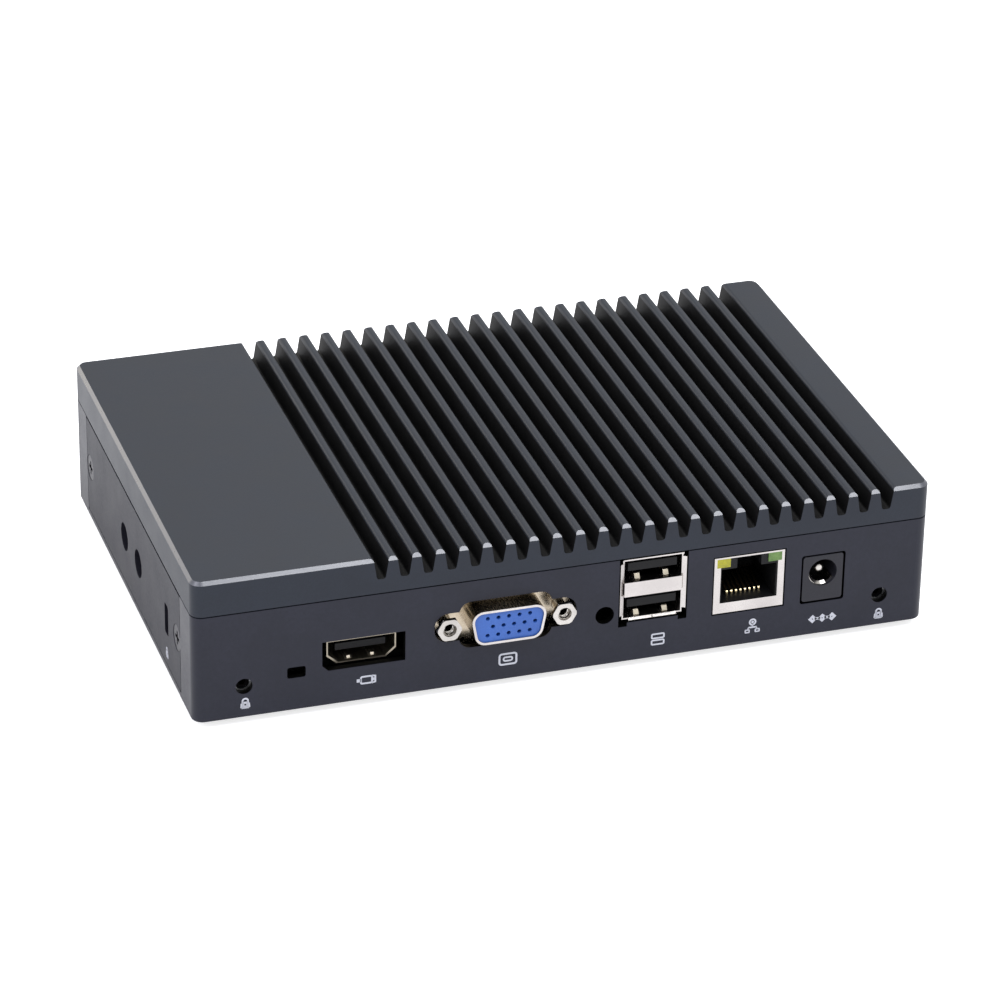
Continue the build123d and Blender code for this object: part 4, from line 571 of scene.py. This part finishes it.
    cut = add_node(tree, "GeometryNodeMeshBoolean", {"Mesh 1": block, "Mesh 2": [cutters, shaped]},
                   operation="DIFFERENCE", solver="EXACT")
    padded = add_node(tree, "GeometryNodeMeshBoolean", {"Mesh 2": [cut, boxes["Heat Pad"]]},
                      operation="UNION", solver="EXACT")
    drilled = add_node(tree, "GeometryNodeMeshBoolean", {
        "Mesh 1": padded, "Mesh 2": [boxes["Case Screw"], pad_holes]}, operation="DIFFERENCE",
        solver="EXACT")
    placed = add_node(tree, "GeometryNodeTransform", {
        "Geometry": drilled,
        "Translation": (CASE_MIDDLE.x, CASE_MIDDLE.y, COVER_LOW.z / MM + COVER_PAD_DROP)})
    end_tree(tree, placed, size["Finish"])
    return tree


# Corners of a groove's cutter: floor, mouth, and the part that clears the fin tips
groove_side = GROOVE_TOP / 2 + COVER_SIZES["Fin Tip Radius"]
CUTTER_RISE = 2.0
GROOVE_CORNERS = [
    (-GROOVE_FLOOR / 2, -GROOVE_DEPTH, 0), (GROOVE_FLOOR / 2, -GROOVE_DEPTH, 0),
    (GROOVE_TOP / 2, 0, 0), (-GROOVE_TOP / 2, 0, 0), (groove_side, 0, 0),
    (groove_side, CUTTER_RISE, 0), (-groove_side, CUTTER_RISE, 0), (-groove_side, 0, 0)]
GROOVE_ROUND = [(0, 1), (1, 2), (2, 4), (4, 5), (5, 6), (6, 7), (7, 3), (3, 0)]
SHARP, FLOOR_CORNER, FIN_TIP = 0, 1, 2
GROOVE_BENDS = [FLOOR_CORNER] * 2 + [FIN_TIP] * 2 + [SHARP] * 4
cover_mesh = grow("finned_cover", cover_tree(), COVER_SIZES, anodised_cover, GROOVE_CORNERS,
                  GROOVE_ROUND, bend=GROOVE_BENDS)
finned_cover = make_piece("finned_cover", cover_mesh, anodised_cover)
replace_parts(finned_cover, "heatsink_cover")

# The chamfers round the top are cut after blasting, so they keep a smoother skin, and take a
# lighter colour as a painted highlight; the walls and floors of the grooves take painted shade
cover_mesh.materials.append(milled_edge_highlight)
cover_mesh.materials.append(groove_shade)
CHAMFER_SLOPES, CHAMFER_REACH = (0.6, 0.8), 1.0 * MM
WALL_SLOPE, FLOOR_SLOPE = 0.97, 0.05
FLOOR_HIGH, FLOOR_LOW = 3.3 * MM, 5 * MM        # under the top of the cover
RIGHT_EDGE = 5 * MM                             # past the last groove
first_wall = (CASE_MIDDLE.x + COVER_SIZES["First Groove"] - GROOVE_TOP) * MM
last_wall = COVER_HIGH.x - RIGHT_EDGE
half_depth = (COVER_HIGH.y - COVER_LOW.y) / 2
for face in cover_mesh.polygons:
    past_side = abs(face.center.x) - COVER_HIGH.x
    past_end = abs(face.center.y - CASE_MIDDLE.y * MM) - half_depth
    sunk = COVER_HIGH.z - face.center.z
    on_rim = max(past_side, past_end) > -CHAMFER_REACH
    on_wall = abs(face.normal.x) > WALL_SLOPE and sunk < GROOVE_DEPTH * MM
    on_floor = face.normal.z > FLOOR_SLOPE and FLOOR_HIGH < sunk < FLOOR_LOW
    # Chamfer faces take the smoother finish whose lighter colour is a painted highlight
    if on_rim and CHAMFER_SLOPES[0] < face.normal.z < CHAMFER_SLOPES[1]:
        face.material_index = 1
    # Walls and floors of the grooves get the anodising with painted shade
    elif first_wall < face.center.x < last_wall and (on_wall or on_floor):
        face.material_index = 2


# Screws: a head on a shank with a cross or a hexagon pressed into it, one at each point. A shank
# starts inside its head, so that the two join into one body.
LAP = 0.2


def screw_tree(name, sizes, cross):
    """Tree of screws that stand at points and face outward, their heads' base on the point."""
    tree, size = size_tree(name, sizes)
    head = add_node(tree, "GeometryNodeMeshCone", {
        "Vertices": 32, "Radius Top": size["Head Top Radius"],
        "Radius Bottom": size["Head Base Radius"], "Depth": size["Head Height"]})
    base = add_node(tree, "ShaderNodeCombineXYZ", {"Z": size["Head Base"]})
    head = add_node(tree, "GeometryNodeTransform", {"Geometry": head, "Translation": base})
    lapped = add_node(tree, "ShaderNodeMath", {0: size["Length"], 1: LAP}, operation="ADD")
    middle = add_node(tree, "ShaderNodeMath", {0: lapped, 1: -0.5}, operation="MULTIPLY")
    sunk = add_node(tree, "ShaderNodeMath", {0: middle, 1: size["Head Base"]}, operation="ADD")
    lift = add_node(tree, "ShaderNodeMath", {0: sunk, 1: LAP}, operation="ADD")
    shank = add_node(tree, "GeometryNodeMeshCylinder", {
        "Vertices": 32, "Radius": size["Shank Radius"], "Depth": lapped})
    shank = add_node(tree, "GeometryNodeTransform", {
        "Geometry": shank, "Translation": add_node(tree, "ShaderNodeCombineXYZ", {"Z": lift})})
    body = add_node(tree, "GeometryNodeMeshBoolean", {"Mesh 2": [head, shank]}, operation="UNION",
                    solver="EXACT")
    top = add_node(tree, "ShaderNodeMath", {
        0: size["Head Base"], 1: size["Head Height"]}, operation="ADD")
    top_place = add_node(tree, "ShaderNodeCombineXYZ", {"Z": top})
    deep = add_node(tree, "ShaderNodeMath", {0: size["Recess Depth"], 1: 2.0}, operation="MULTIPLY")
    bits = []
    if cross:
        for long_side, short_side in (("X", "Y"), ("Y", "X")):
            wing = add_node(tree, "ShaderNodeCombineXYZ", {
                long_side: size["Recess Width"], short_side: size["Recess Slot"], "Z": deep})
            bits.append(add_node(tree, "GeometryNodeMeshCube", {"Size": wing}))
    else:
        half = add_node(tree, "ShaderNodeMath", {0: size["Recess Width"], 1: 0.5},
                        operation="MULTIPLY")
        bits.append(add_node(tree, "GeometryNodeMeshCylinder", {
            "Vertices": 6, "Radius": half, "Depth": deep}))
    cutters = [add_node(tree, "GeometryNodeTransform", {"Geometry": bit, "Translation": top_place})
               for bit in bits]
    cut = add_node(tree, "GeometryNodeMeshBoolean", {"Mesh 1": body, "Mesh 2": cutters},
                   operation="DIFFERENCE", solver="EXACT")
    stand_outward(tree, size, cut)
    return tree


def place_mm(x, y, z):
    """Point in millimetres: from the left side, behind the front face, over the underside."""
    return CASE_MM + Vector((x, y, z))


def four_places(inset_x, inset_y, z):
    """The four points at these insets from the sides, the front and the back."""
    return [place_mm(x, y, z) for x in (inset_x, CASE_WIDTH - inset_x)
            for y in (inset_y, CASE_DEPTH - inset_y)]


FLAT_HEAD = {"Head Top Radius": 2.8, "Head Base Radius": 1.45, "Head Height": 1.35,
             "Head Base": -1.35, "Shank Radius": 1.45, "Length": 4.1, "Recess Width": 3.1,
             "Recess Slot": 0.75, "Recess Depth": 1.1}
LONG_SCREW = dict(FLAT_HEAD, Length=25.6)
SET_SCREW = {"Head Top Radius": 1.2, "Head Base Radius": 1.45, "Head Height": 0.3,
             "Head Base": -0.3, "Shank Radius": 1.45, "Length": 5.7, "Recess Width": 1.7,
             "Recess Slot": 0.0, "Recess Depth": 1.4}
HEAD_SINK = 0.1             # the flat heads lie this much under the surface
PANEL_SCREW_INSET, PANEL_SCREW_HEIGHT = 13.5, 13.1
BASE_SCREW_INSET_X, BASE_SCREW_INSET_Y = 8.0, 13.0
LOCK_LEFT, LOCK_RIGHT = 10.7, CASE_WIDTH - 10.4
LOCK_DEPTH, LOCK_HEIGHT = 2.2, 7.35
panel_places = four_places(HEAD_SINK, PANEL_SCREW_INSET, PANEL_SCREW_HEIGHT)
base_places = four_places(BASE_SCREW_INSET_X, BASE_SCREW_INSET_Y, HEAD_SINK)
lock_places = [place_mm(x, LOCK_DEPTH, LOCK_HEIGHT) for x in (LOCK_LEFT, LOCK_RIGHT)]
# Sizes, whether the recess is a cross, finish, places and the ways the heads face
SCREW_SETS = {
    "side_panel_screws": (FLAT_HEAD, True, zinc_screw, panel_places,
                          [SIDEWAYS * -1] * 2 + [SIDEWAYS] * 2),
    "base_screws": (LONG_SCREW, True, zinc_screw, base_places, [UPWARDS * -1] * 4),
    "lock_screws": (SET_SCREW, False, black_oxide, lock_places, [BACKWARDS * -1] * 2),
}
for name, (sizes, cross, finish, points, outward) in SCREW_SETS.items():
    mesh = grow(name + "_recessed", screw_tree(name, sizes, cross), sizes, finish, points,
                outward=outward)
    piece = make_piece(name + "_recessed", mesh, finish)
    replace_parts(piece, name)


# Jack nuts of the analogue socket: a hexagon with its corners turned off, and a threaded bore
NUT_SPREAD = 24.99          # between the middles of the two nuts
TURNED_SLOPE = 0.4          # the cone that turns the corners off widens by this share of its height
BORE_LENGTH = 12.0          # longer than the nut and its stud
NUT_SIZES = {"Across Flats": 4.8, "Height": 1.9, "Turned Radius": 2.2, "Bore Radius": 1.3,
             "Mouth Radius": 1.8, "Mouth Base Radius": 1.2, "Mouth Depth": 1.3, "Mouth Sink": 0.64,
             "Thread Pitch": 0.6, "Thread Turns": 2.6, "Thread Height": 0.16,
             "Stud Radius": 1.4, "Stud Length": 3.4}


def nut_tree():
    """Tree of the jack nuts, which stand on the flange and face outward."""
    tree, size = size_tree("jack_nuts", NUT_SIZES)
    corner = add_node(tree, "ShaderNodeMath", {0: size["Across Flats"], 1: math.sqrt(3)},
                      operation="DIVIDE")
    slope = add_node(tree, "ShaderNodeMath", {0: size["Height"], 1: TURNED_SLOPE},
                     operation="MULTIPLY")
    wide = add_node(tree, "ShaderNodeMath", {0: size["Turned Radius"], 1: slope})
    hexagon = add_node(tree, "GeometryNodeMeshCylinder", {
        "Vertices": 6, "Radius": corner, "Depth": size["Height"]})
    turned = add_node(tree, "GeometryNodeMeshCone", {
        "Vertices": 48, "Radius Top": size["Turned Radius"], "Radius Bottom": wide,
        "Depth": size["Height"]})
    nut = add_node(tree, "GeometryNodeMeshBoolean", {"Mesh 2": [hexagon, turned]},
                   operation="INTERSECT", solver="EXACT")
    half = add_node(tree, "ShaderNodeMath", {0: size["Height"], 1: 0.5}, operation="MULTIPLY")
    seated = add_node(tree, "GeometryNodeTransform", {
        "Geometry": nut, "Translation": add_node(tree, "ShaderNodeCombineXYZ", {"Z": half})})
    bore = add_node(tree, "GeometryNodeMeshCylinder", {
        "Vertices": 32, "Radius": size["Bore Radius"], "Depth": BORE_LENGTH})
    stud = add_node(tree, "GeometryNodeMeshCylinder", {
        "Vertices": 32, "Radius": size["Stud Radius"], "Depth": size["Stud Length"]})
    down = add_node(tree, "ShaderNodeMath", {0: size["Stud Length"], 1: -0.5}, operation="MULTIPLY")
    lift = add_node(tree, "ShaderNodeMath", {0: down, 1: LAP})
    stud = add_node(tree, "GeometryNodeTransform", {
        "Geometry": stud, "Translation": add_node(tree, "ShaderNodeCombineXYZ", {"Z": lift})})
    both = add_node(tree, "GeometryNodeMeshBoolean", {"Mesh 2": [seated, stud]}, operation="UNION",
                    solver="EXACT")
    mouth = add_node(tree, "GeometryNodeMeshCone", {
        "Vertices": 32, "Radius Top": size["Mouth Radius"],
        "Radius Bottom": size["Mouth Base Radius"], "Depth": size["Mouth Depth"]})
    level = add_node(tree, "ShaderNodeMath", {0: size["Height"], 1: size["Mouth Sink"]},
                     operation="SUBTRACT")
    mouth = add_node(tree, "GeometryNodeTransform", {
        "Geometry": mouth, "Translation": add_node(tree, "ShaderNodeCombineXYZ", {"Z": level})})
    drilled = add_node(tree, "GeometryNodeMeshBoolean", {"Mesh 1": both, "Mesh 2": [bore, mouth]},
                       operation="DIFFERENCE", solver="EXACT")
    # Thread: a triangular ridge wound up the bore
    rise = add_node(tree, "ShaderNodeMath", {0: size["Thread Pitch"], 1: size["Thread Turns"]},
                    operation="MULTIPLY")
    helix = add_node(tree, "GeometryNodeCurveSpiral", {
        "Resolution": 24, "Rotations": size["Thread Turns"], "Start Radius": size["Bore Radius"],
        "End Radius": size["Bore Radius"], "Height": rise})
    ridge = add_node(tree, "GeometryNodeCurvePrimitiveCircle", {
        "Resolution": 3, "Radius": size["Thread Height"]})
    thread = add_node(tree, "GeometryNodeCurveToMesh", {
        "Curve": helix, "Profile Curve": ridge, "Fill Caps": True})
    whole = add_node(tree, "GeometryNodeJoinGeometry", {"Geometry": [drilled, thread]})
    stand_outward(tree, size, whole)
    return tree


nut_low, nut_high = box_mm("jack_nuts")
nut_z = (nut_low.z + nut_high.z) / 2
nut_middle = (nut_low.x + nut_high.x) / 2
nut_base = nut_low.y + NUT_SIZES["Height"]
nut_points = [Vector((nut_middle + side * NUT_SPREAD / 2, nut_base, nut_z)) for side in (-1, 1)]
nut_mesh = grow("threaded_jack_nuts", nut_tree(), NUT_SIZES, nickel_steel, nut_points,
                outward=[BACKWARDS * -1] * 2)
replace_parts(make_piece("threaded_jack_nuts", nut_mesh, nickel_steel), "jack_nuts")


# Contact wires and springs: a bent strip, repeated
STRIP_SIZES = {"Bend Radius": 0.3, "Width": 0.4, "Thickness": 0.3, "Count": 1, "Pitch": 1.0}


def strip_tree():
    """Tree of bent strips; its points are one strip's path, upright, from front to back."""
    tree, size = size_tree("bent_strips", STRIP_SIZES)
    path = add_node(tree, "GeometryNodeMeshToCurve", {"Mesh": size["Points"]})
    bent = add_node(tree, "GeometryNodeFilletCurve", {
        "Curve": path, "Count": 6, "Radius": size["Bend Radius"], "Limit Radius": True},
        mode="POLY")
    levelled = add_node(tree, "GeometryNodeSetCurveNormal", {"Curve": bent}, mode="MINIMUM_TWIST")
    profile = add_node(tree, "GeometryNodeCurvePrimitiveQuadrilateral", {
        "Width": size["Width"], "Height": size["Thickness"]})
    strip = add_node(tree, "GeometryNodeCurveToMesh", {
        "Curve": levelled, "Profile Curve": profile, "Fill Caps": True})
    row = add_node(tree, "GeometryNodeMeshLine", {
        "Count": size["Count"],
        "Offset": add_node(tree, "ShaderNodeCombineXYZ", {"X": size["Pitch"]})})
    repeated = add_node(tree, "GeometryNodeInstanceOnPoints", {"Points": row, "Instance": strip})
    end_tree(tree, repeated, size["Finish"])
    return tree


strips = strip_tree()
wire_low, wire_high = box_mm("network_contacts")
wire_x = wire_low.x + STRIP_SIZES["Width"] / 2
wire_y = wire_low.y + STRIP_SIZES["Thickness"] / 2
WIRE_TIP, WIRE_TOP_INSET, GILT_LENGTH = 0.75, 0.16, 1.3
WIRE_PATH = [Vector((wire_x, wire_y, wire_low.z)), Vector((wire_x, wire_y, wire_low.z + WIRE_TIP)),
             Vector((wire_x, wire_high.y, wire_high.z - WIRE_TOP_INSET))]
wire_sizes = dict(STRIP_SIZES, Count=8, Pitch=1.02)
wire_mesh = grow("bent_network_contacts", strips, wire_sizes, gold_flash, WIRE_PATH,
                 [(0, 1), (1, 2)])
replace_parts(make_piece("bent_network_contacts", wire_mesh, gold_flash),
            "network_contacts")
# Past the gilt the wires take the bronze with painted shade
wire_mesh.materials.append(shaded_bronze)
for face in wire_mesh.polygons:
    face.material_index = 1 if face.center.y > (wire_y + GILT_LENGTH) * MM else 0

# Two springs on each floor of the data and video sockets, bowed up from the sheet: the box of
# the shell, the height of the sheet, and how far back the two start, how far apart, how wide
# and how high they are
LOWER_SHEET, UPPER_SHEET, DIGITAL_SHEET = 10.2, 18.8, 0.3
TWIN_SPRINGS = {"back": 1.3, "pitch": 6.3, "width": 1.15, "rise": 1.5}
DIGITAL_SPRINGS = {"back": 0.8, "pitch": 5.1, "width": 0.7, "rise": 0.8}
twin_box, digital_box = box_mm("twin_data_shell"), box_mm("digital_video_shell")
SPRING_ROWS = {
    "lower_data_springs": (twin_box, place_mm(0, 0, LOWER_SHEET).z, TWIN_SPRINGS),
    "upper_data_springs": (twin_box, place_mm(0, 0, UPPER_SHEET).z, TWIN_SPRINGS),
    "video_springs": (digital_box, digital_box[0].z + DIGITAL_SHEET, DIGITAL_SPRINGS),
}
SPRING_LENGTH, SPRING_BEND, SPRING_THICK = 5.0, 0.5, 0.2
TIP_LIFT, TAIL_LIFT = 0.05, 0.1                     # over the sheet
BOW_FROM, BOW_TO, BOW_HEIGHT = 0.5, 1.6, 0.75       # shares of the rise
for name, ((low, high), sheet, spring) in SPRING_ROWS.items():
    start = (low.x + high.x) / 2 - spring["pitch"] / 2
    front, rise = low.y + spring["back"], spring["rise"]
    path = [Vector((start, front + behind, sheet + over)) for behind, over in (
        (0.0, TIP_LIFT), (BOW_FROM * rise, BOW_HEIGHT * rise), (BOW_TO * rise, BOW_HEIGHT * rise),
        (SPRING_LENGTH, TAIL_LIFT))]
    sizes = dict(STRIP_SIZES, Count=2, Pitch=spring["pitch"], Width=spring["width"],
                 Thickness=SPRING_THICK)
    sizes["Bend Radius"] = SPRING_BEND
    # The springs take the tin with painted shade, as they sit in the dark of the sockets
    mesh = grow(name, strips, sizes, shaded_tin, path, [(0, 1), (1, 2), (2, 3)])
    make_piece(name, mesh, shaded_tin)

# Lip of the curled spring in the power jack, at the lower left of its bore: a bent section, given
# by how far behind the front and how far from the middle its corners lie, swept through an arc
JACK_HEIGHT, LIP_BACK = 14.75, 0.45
LIP_SECTION = ((0.0, 3.1), (0.0, 2.98), (0.6, 2.5), (0.8, 2.6), (0.25, 3.1))
LIP_START, LIP_SWEEP, LIP_STEPS = 184, 104, 14
jack_low, jack_high = box_mm("power_jack_body")
jack_spot = Vector(((jack_low.x + jack_high.x) / 2, jack_low.y + LIP_BACK,
                    place_mm(0, 0, JACK_HEIGHT).z))
lip = bmesh.new()
rings = []
for back, radius in LIP_SECTION:
    ring = []
    for step in range(LIP_STEPS + 1):
        angle = math.radians(LIP_START + LIP_SWEEP * step / LIP_STEPS)
        point = jack_spot + Vector((radius * math.cos(angle), back, radius * math.sin(angle)))
        ring.append(lip.verts.new(point * MM))
    rings.append(ring)
for i, ring in enumerate(rings):
    after = rings[(i + 1) % len(rings)]
    for step in range(LIP_STEPS):
        lip.faces.new((ring[step], ring[step + 1], after[step + 1], after[step]))
for step in (0, LIP_STEPS):
    lip.faces.new([ring[step] for ring in rings])
bmesh.ops.recalc_face_normals(lip, faces=lip.faces)
lip_mesh = bpy.data.meshes.new("jack_spring_lip")
lip.to_mesh(lip_mesh)
lip.free()
lip_mesh.shade_smooth()
lip_mesh.set_sharp_from_angle(angle=SMOOTH_ANGLE)
make_piece("jack_spring_lip", lip_mesh, nickel_steel)


# Printed marks and flat trim
INK_FILM = 0.02


def print_mark(name, strokes, place, film=INK_FILM, finish=screen_ink):
    """Strokes of a drawing, raised by a film from the plane that place gives."""
    mesh = bmesh.new()
    for points, width, closed in strokes:
        add_stroke(mesh, points, width, closed)
    bmesh.ops.transform(mesh, matrix=place @ Matrix.Scale(MM, 4), verts=mesh.verts)
    bmesh.ops.recalc_face_normals(mesh, faces=mesh.faces)
    outward = place.to_3x3() @ Vector((0, 0, 1))
    made = bmesh.ops.extrude_face_region(mesh, geom=mesh.faces[:])
    raised = [part for part in made["geom"] if isinstance(part, bmesh.types.BMVert)]
    bmesh.ops.translate(mesh, verts=raised, vec=outward * film * MM)
    bmesh.ops.recalc_face_normals(mesh, faces=mesh.faces)
    data = bpy.data.meshes.new(name)
    mesh.to_mesh(data)
    mesh.free()
    make_piece(name, data, finish)


UPRIGHT = Matrix.Rotation(RIGHT_ANGLE, 4, "X")


def front_mark(x, z):
    """Drawing plane on the front wall, seen from the front."""
    return Matrix.Translation(spot(x, 0, z)) @ UPRIGHT


def side_mark(y, z):
    """Drawing plane on the left panel, seen from the left."""
    return Matrix.Translation(spot(0, y, z)) @ Matrix.Rotation(-RIGHT_ANGLE, 4, "Z") @ UPRIGHT


# A padlock is a solid body, wider at the bottom, round a keyhole, under a thick shackle
PADLOCK = [
    ([(-0.55, 0.0), (0.55, 0.0)], 0.5, False),
    ([(-0.72, -0.1), (-0.8, -1.15)], 0.5, False),
    ([(0.72, -0.1), (0.8, -1.15)], 0.5, False),
    ([(-0.8, -1.15), (0.8, -1.15)], 0.42, False),
    ([(-0.62, -0.45), (-0.2, -0.45)], 0.5, False),
    ([(0.62, -0.45), (0.2, -0.45)], 0.5, False),
    ([(-0.5, -0.85), (0.5, -0.85)], 0.4, False),
    (circle((0, 0.4), 0.58, 12, 0, 180), 0.38, False),
    ([(-0.58, 0.45), (-0.58, -0.1)], 0.38, False),
    ([(0.58, 0.45), (0.58, -0.1)], 0.38, False),
]
print_mark("left_padlock_mark", PADLOCK, front_mark(10.9, 3.45))
print_mark("right_padlock_mark", PADLOCK, front_mark(150.5, 2.95))
print_mark("panel_padlock_mark", PADLOCK, side_mark(22.4, 4.8))
print_mark("digital_video_mark", [
    (rounded((0.15, 0), 2.4, 1.6, 0.3), 0.38, True),
    ([(1.3, 0.85), (2.05, 0.7), (2.05, -0.7), (1.3, -0.85)], 0.36, False),
    ([(1.7, 0.3), (1.7, -0.3)], 0.3, False),
    ([(-1.0, 0), (-1.95, 0)], 0.75, False),
], front_mark(36.6, 4.75))
print_mark("analogue_video_mark", [
    (rounded((0, 0), 3.7, 2.5, 0.5), 0.42, True),
    (rounded((0, 0), 1.9, 0.85, 0.4), 0.36, True),
], front_mark(67.4, 4.85))
print_mark("twin_data_mark", [
    (rounded((0, 0.75), 2.7, 1.0, 0.25), 0.36, True),
    (rounded((0, -0.75), 2.7, 1.0, 0.25), 0.36, True),
], front_mark(100.5, 4.4))
NETWORK_MARK_SCALE = 0.87
print_mark("network_mark", [
    (circle((0, 1.3), 0.75), 0.42, True),
    (circle((0, 1.3), 0.2, 8), 0.3, True),
    ([(0, 0.6), (0, -0.05)], 0.42, False),
    ([(-1.1, -0.15), (1.1, -0.15)], 0.42, False),
    ([(-0.95, -0.15), (-1.25, -0.75)], 0.36, False),
    ([(0.95, -0.15), (1.25, -0.75)], 0.36, False),
    (rounded((-1.3, -1.15), 1.0, 0.7, 0.1), 0.34, True),
    (rounded((1.3, -1.15), 1.0, 0.7, 0.1), 0.34, True),
], front_mark(121.75, 4.05) @ Matrix.Scale(NETWORK_MARK_SCALE, 4))
DIAMOND = [(0.6, 0), (0, 0.6), (-0.6, 0), (0, -0.6)]
print_mark("power_mark", [
    *[([(x + middle, z) for x, z in DIAMOND], 0.6, True) for middle in (-2.2, 0, 2.2)],
    ([(-1.7, 0), (-0.5, 0)], 0.6, False),
    ([(0.5, 0), (1.7, 0)], 0.6, False),
], front_mark(137.6, 3.75))


def round_off(corners, radius, steps=6):
    """Points of a closed drawing with its corners rounded."""
    points = []
    for i, corner in enumerate(corners):
        to_last = (Vector(corners[i - 1]) - Vector(corner)).normalized()
        to_next = (Vector(corners[(i + 1) % len(corners)]) - Vector(corner)).normalized()
        half = to_last.angle(to_next) / 2
        middle = Vector(corner) + (to_last + to_next).normalized() * radius / math.sin(half)
        first = Vector(corner) + to_last * radius / math.tan(half) - middle
        last = Vector(corner) + to_next * radius / math.tan(half) - middle
        points += [tuple(middle + first.slerp(last, step / steps).normalized() * radius)
                   for step in range(steps + 1)]
    return points


# Rolled rim of the analogue shell, given the whiter, brighter tin of the other shells as a painted
# highlight round the blue face
RIM_WIDTH, RIM_THICK, RIM_BACK = 0.52, 0.13, 0.1
RIM_HALF_TOP, RIM_HALF_LOW, RIM_HALF_HEIGHT, RIM_CORNER = 8.2, 6.81, 3.7, 2.15
shell_front = box_mm("analogue_video_shell")[0].y
face_low, face_high = box_mm("analogue_video_insulator")
rim_middle = (face_low + face_high) / 2
rim_spot = Vector((rim_middle.x, shell_front + RIM_BACK, rim_middle.z)) * MM
rim_line = round_off([(-RIM_HALF_TOP, RIM_HALF_HEIGHT), (RIM_HALF_TOP, RIM_HALF_HEIGHT),
                      (RIM_HALF_LOW, -RIM_HALF_HEIGHT), (-RIM_HALF_LOW, -RIM_HALF_HEIGHT)],
                     RIM_CORNER)
rim_place = Matrix.Translation(rim_spot) @ UPRIGHT
print_mark("rolled_video_rim_highlight", [(rim_line, RIM_WIDTH, True)], rim_place, RIM_THICK, tinned_steel)


# Studio: pale floor, white surroundings, soft light from the left and above


def ray_strength(tree, kinds, strength_seen, strength_else):
    """Strength of a glow for these kinds of ray, and for all others."""
    rays = add_node(tree, "ShaderNodeLightPath")
    seen = rays.outputs[kinds[0]]
    for kind in kinds[1:]:
        seen = add_node(tree, "ShaderNodeMath", {0: seen, 1: rays.outputs[kind]},
                        operation="MAXIMUM")
    return add_node(tree, "ShaderNodeMapRange", {
        "Value": seen, "To Min": strength_else, "To Max": strength_seen})


world = bpy.data.worlds.new("white_studio")
bpy.context.scene.world = world
world.use_nodes = True
sky = world.node_tree
sky.nodes.clear()
MIRRORED = ("Is Glossy Ray", "Is Transmission Ray")
sky_strength = ray_strength(sky, ("Is Camera Ray", *MIRRORED), 1.0, 0.7)
sky_light = add_node(sky, "ShaderNodeBackground", {
    "Color": srgb("ffffff"), "Strength": sky_strength})
add_node(sky, "ShaderNodeOutputWorld", {"Surface": sky_light})

floor_paper, paper = new_material("white_paper_floor")
PAPER_CLOUD = 2.5           # millimetres; real fibres are too fine to show
fibres = add_node(paper, "ShaderNodeTexNoise", {
    "Vector": add_node(paper, "ShaderNodeTexCoord").outputs["Object"],
    "Scale": 1 / (PAPER_CLOUD * MM)})
paper_tone = add_node(paper, "ShaderNodeMix", {
    "Factor": fibres, 6: srgb("e6e6e8"), 7: srgb("ececee")}, data_type="RGBA")
paper_face = add_node(paper, "ShaderNodeBsdfDiffuse", {"Color": paper_tone.outputs[2]})
mirrored_glow = ray_strength(paper, MIRRORED, 0.45, 0.0)
glow = add_node(paper, "ShaderNodeEmission", {
    "Strength": ray_strength(paper, ("Is Camera Ray",), 0.72, mirrored_glow)})
paper_sum = add_node(paper, "ShaderNodeAddShader", {0: paper_face, 1: glow})
add_node(paper, "ShaderNodeOutputMaterial", {"Surface": paper_sum})

FLOOR_REACH, FLOOR_DROP = 3.0, -0.0001
floor_mesh = bpy.data.meshes.new("studio_floor")
floor_mesh.from_pydata([(x * FLOOR_REACH, y * FLOOR_REACH, FLOOR_DROP)
                        for x, y in ((-1, -1), (1, -1), (1, 1), (-1, 1))], [], [(0, 1, 2, 3)])
floor_mesh.materials.append(floor_paper)
studio_floor = bpy.data.objects.new("studio_floor", floor_mesh)
bpy.context.scene.collection.objects.link(studio_floor)


LIGHTS_AIM = Vector((0, 0, 0.02))        # about the middle of the case


def soft_light(name, place, size, watts, tint=(1, 1, 1)):
    """Square area light that faces the case; its place and size are in metres."""
    data = bpy.data.lights.new(name, "AREA")
    data.size = size
    data.energy = watts
    data.color = tint
    lamp = bpy.data.objects.new(name, data)
    lamp.location = place
    lamp.rotation_euler = (LIGHTS_AIM - Vector(place)).to_track_quat("-Z", "Y").to_euler()
    bpy.context.scene.collection.objects.link(lamp)


soft_light("left_softbox", (-1.0, -0.4, 0.9), 0.8, 6.8, (0.86, 0.87, 1.0))
soft_light("top_softbox", (0.2, 0.3, 1.3), 1.0, 6.0)
# These two stand where the chamfers of the cover mirror them into the camera
soft_light("front_edge_softbox", (0.35, -0.62, 1.1), 0.6, 8.0, (0.93, 0.95, 1.0))
soft_light("left_edge_softbox", (-0.62, 1.1, 0.36), 0.5, 1.5, (1.0, 0.93, 0.8))
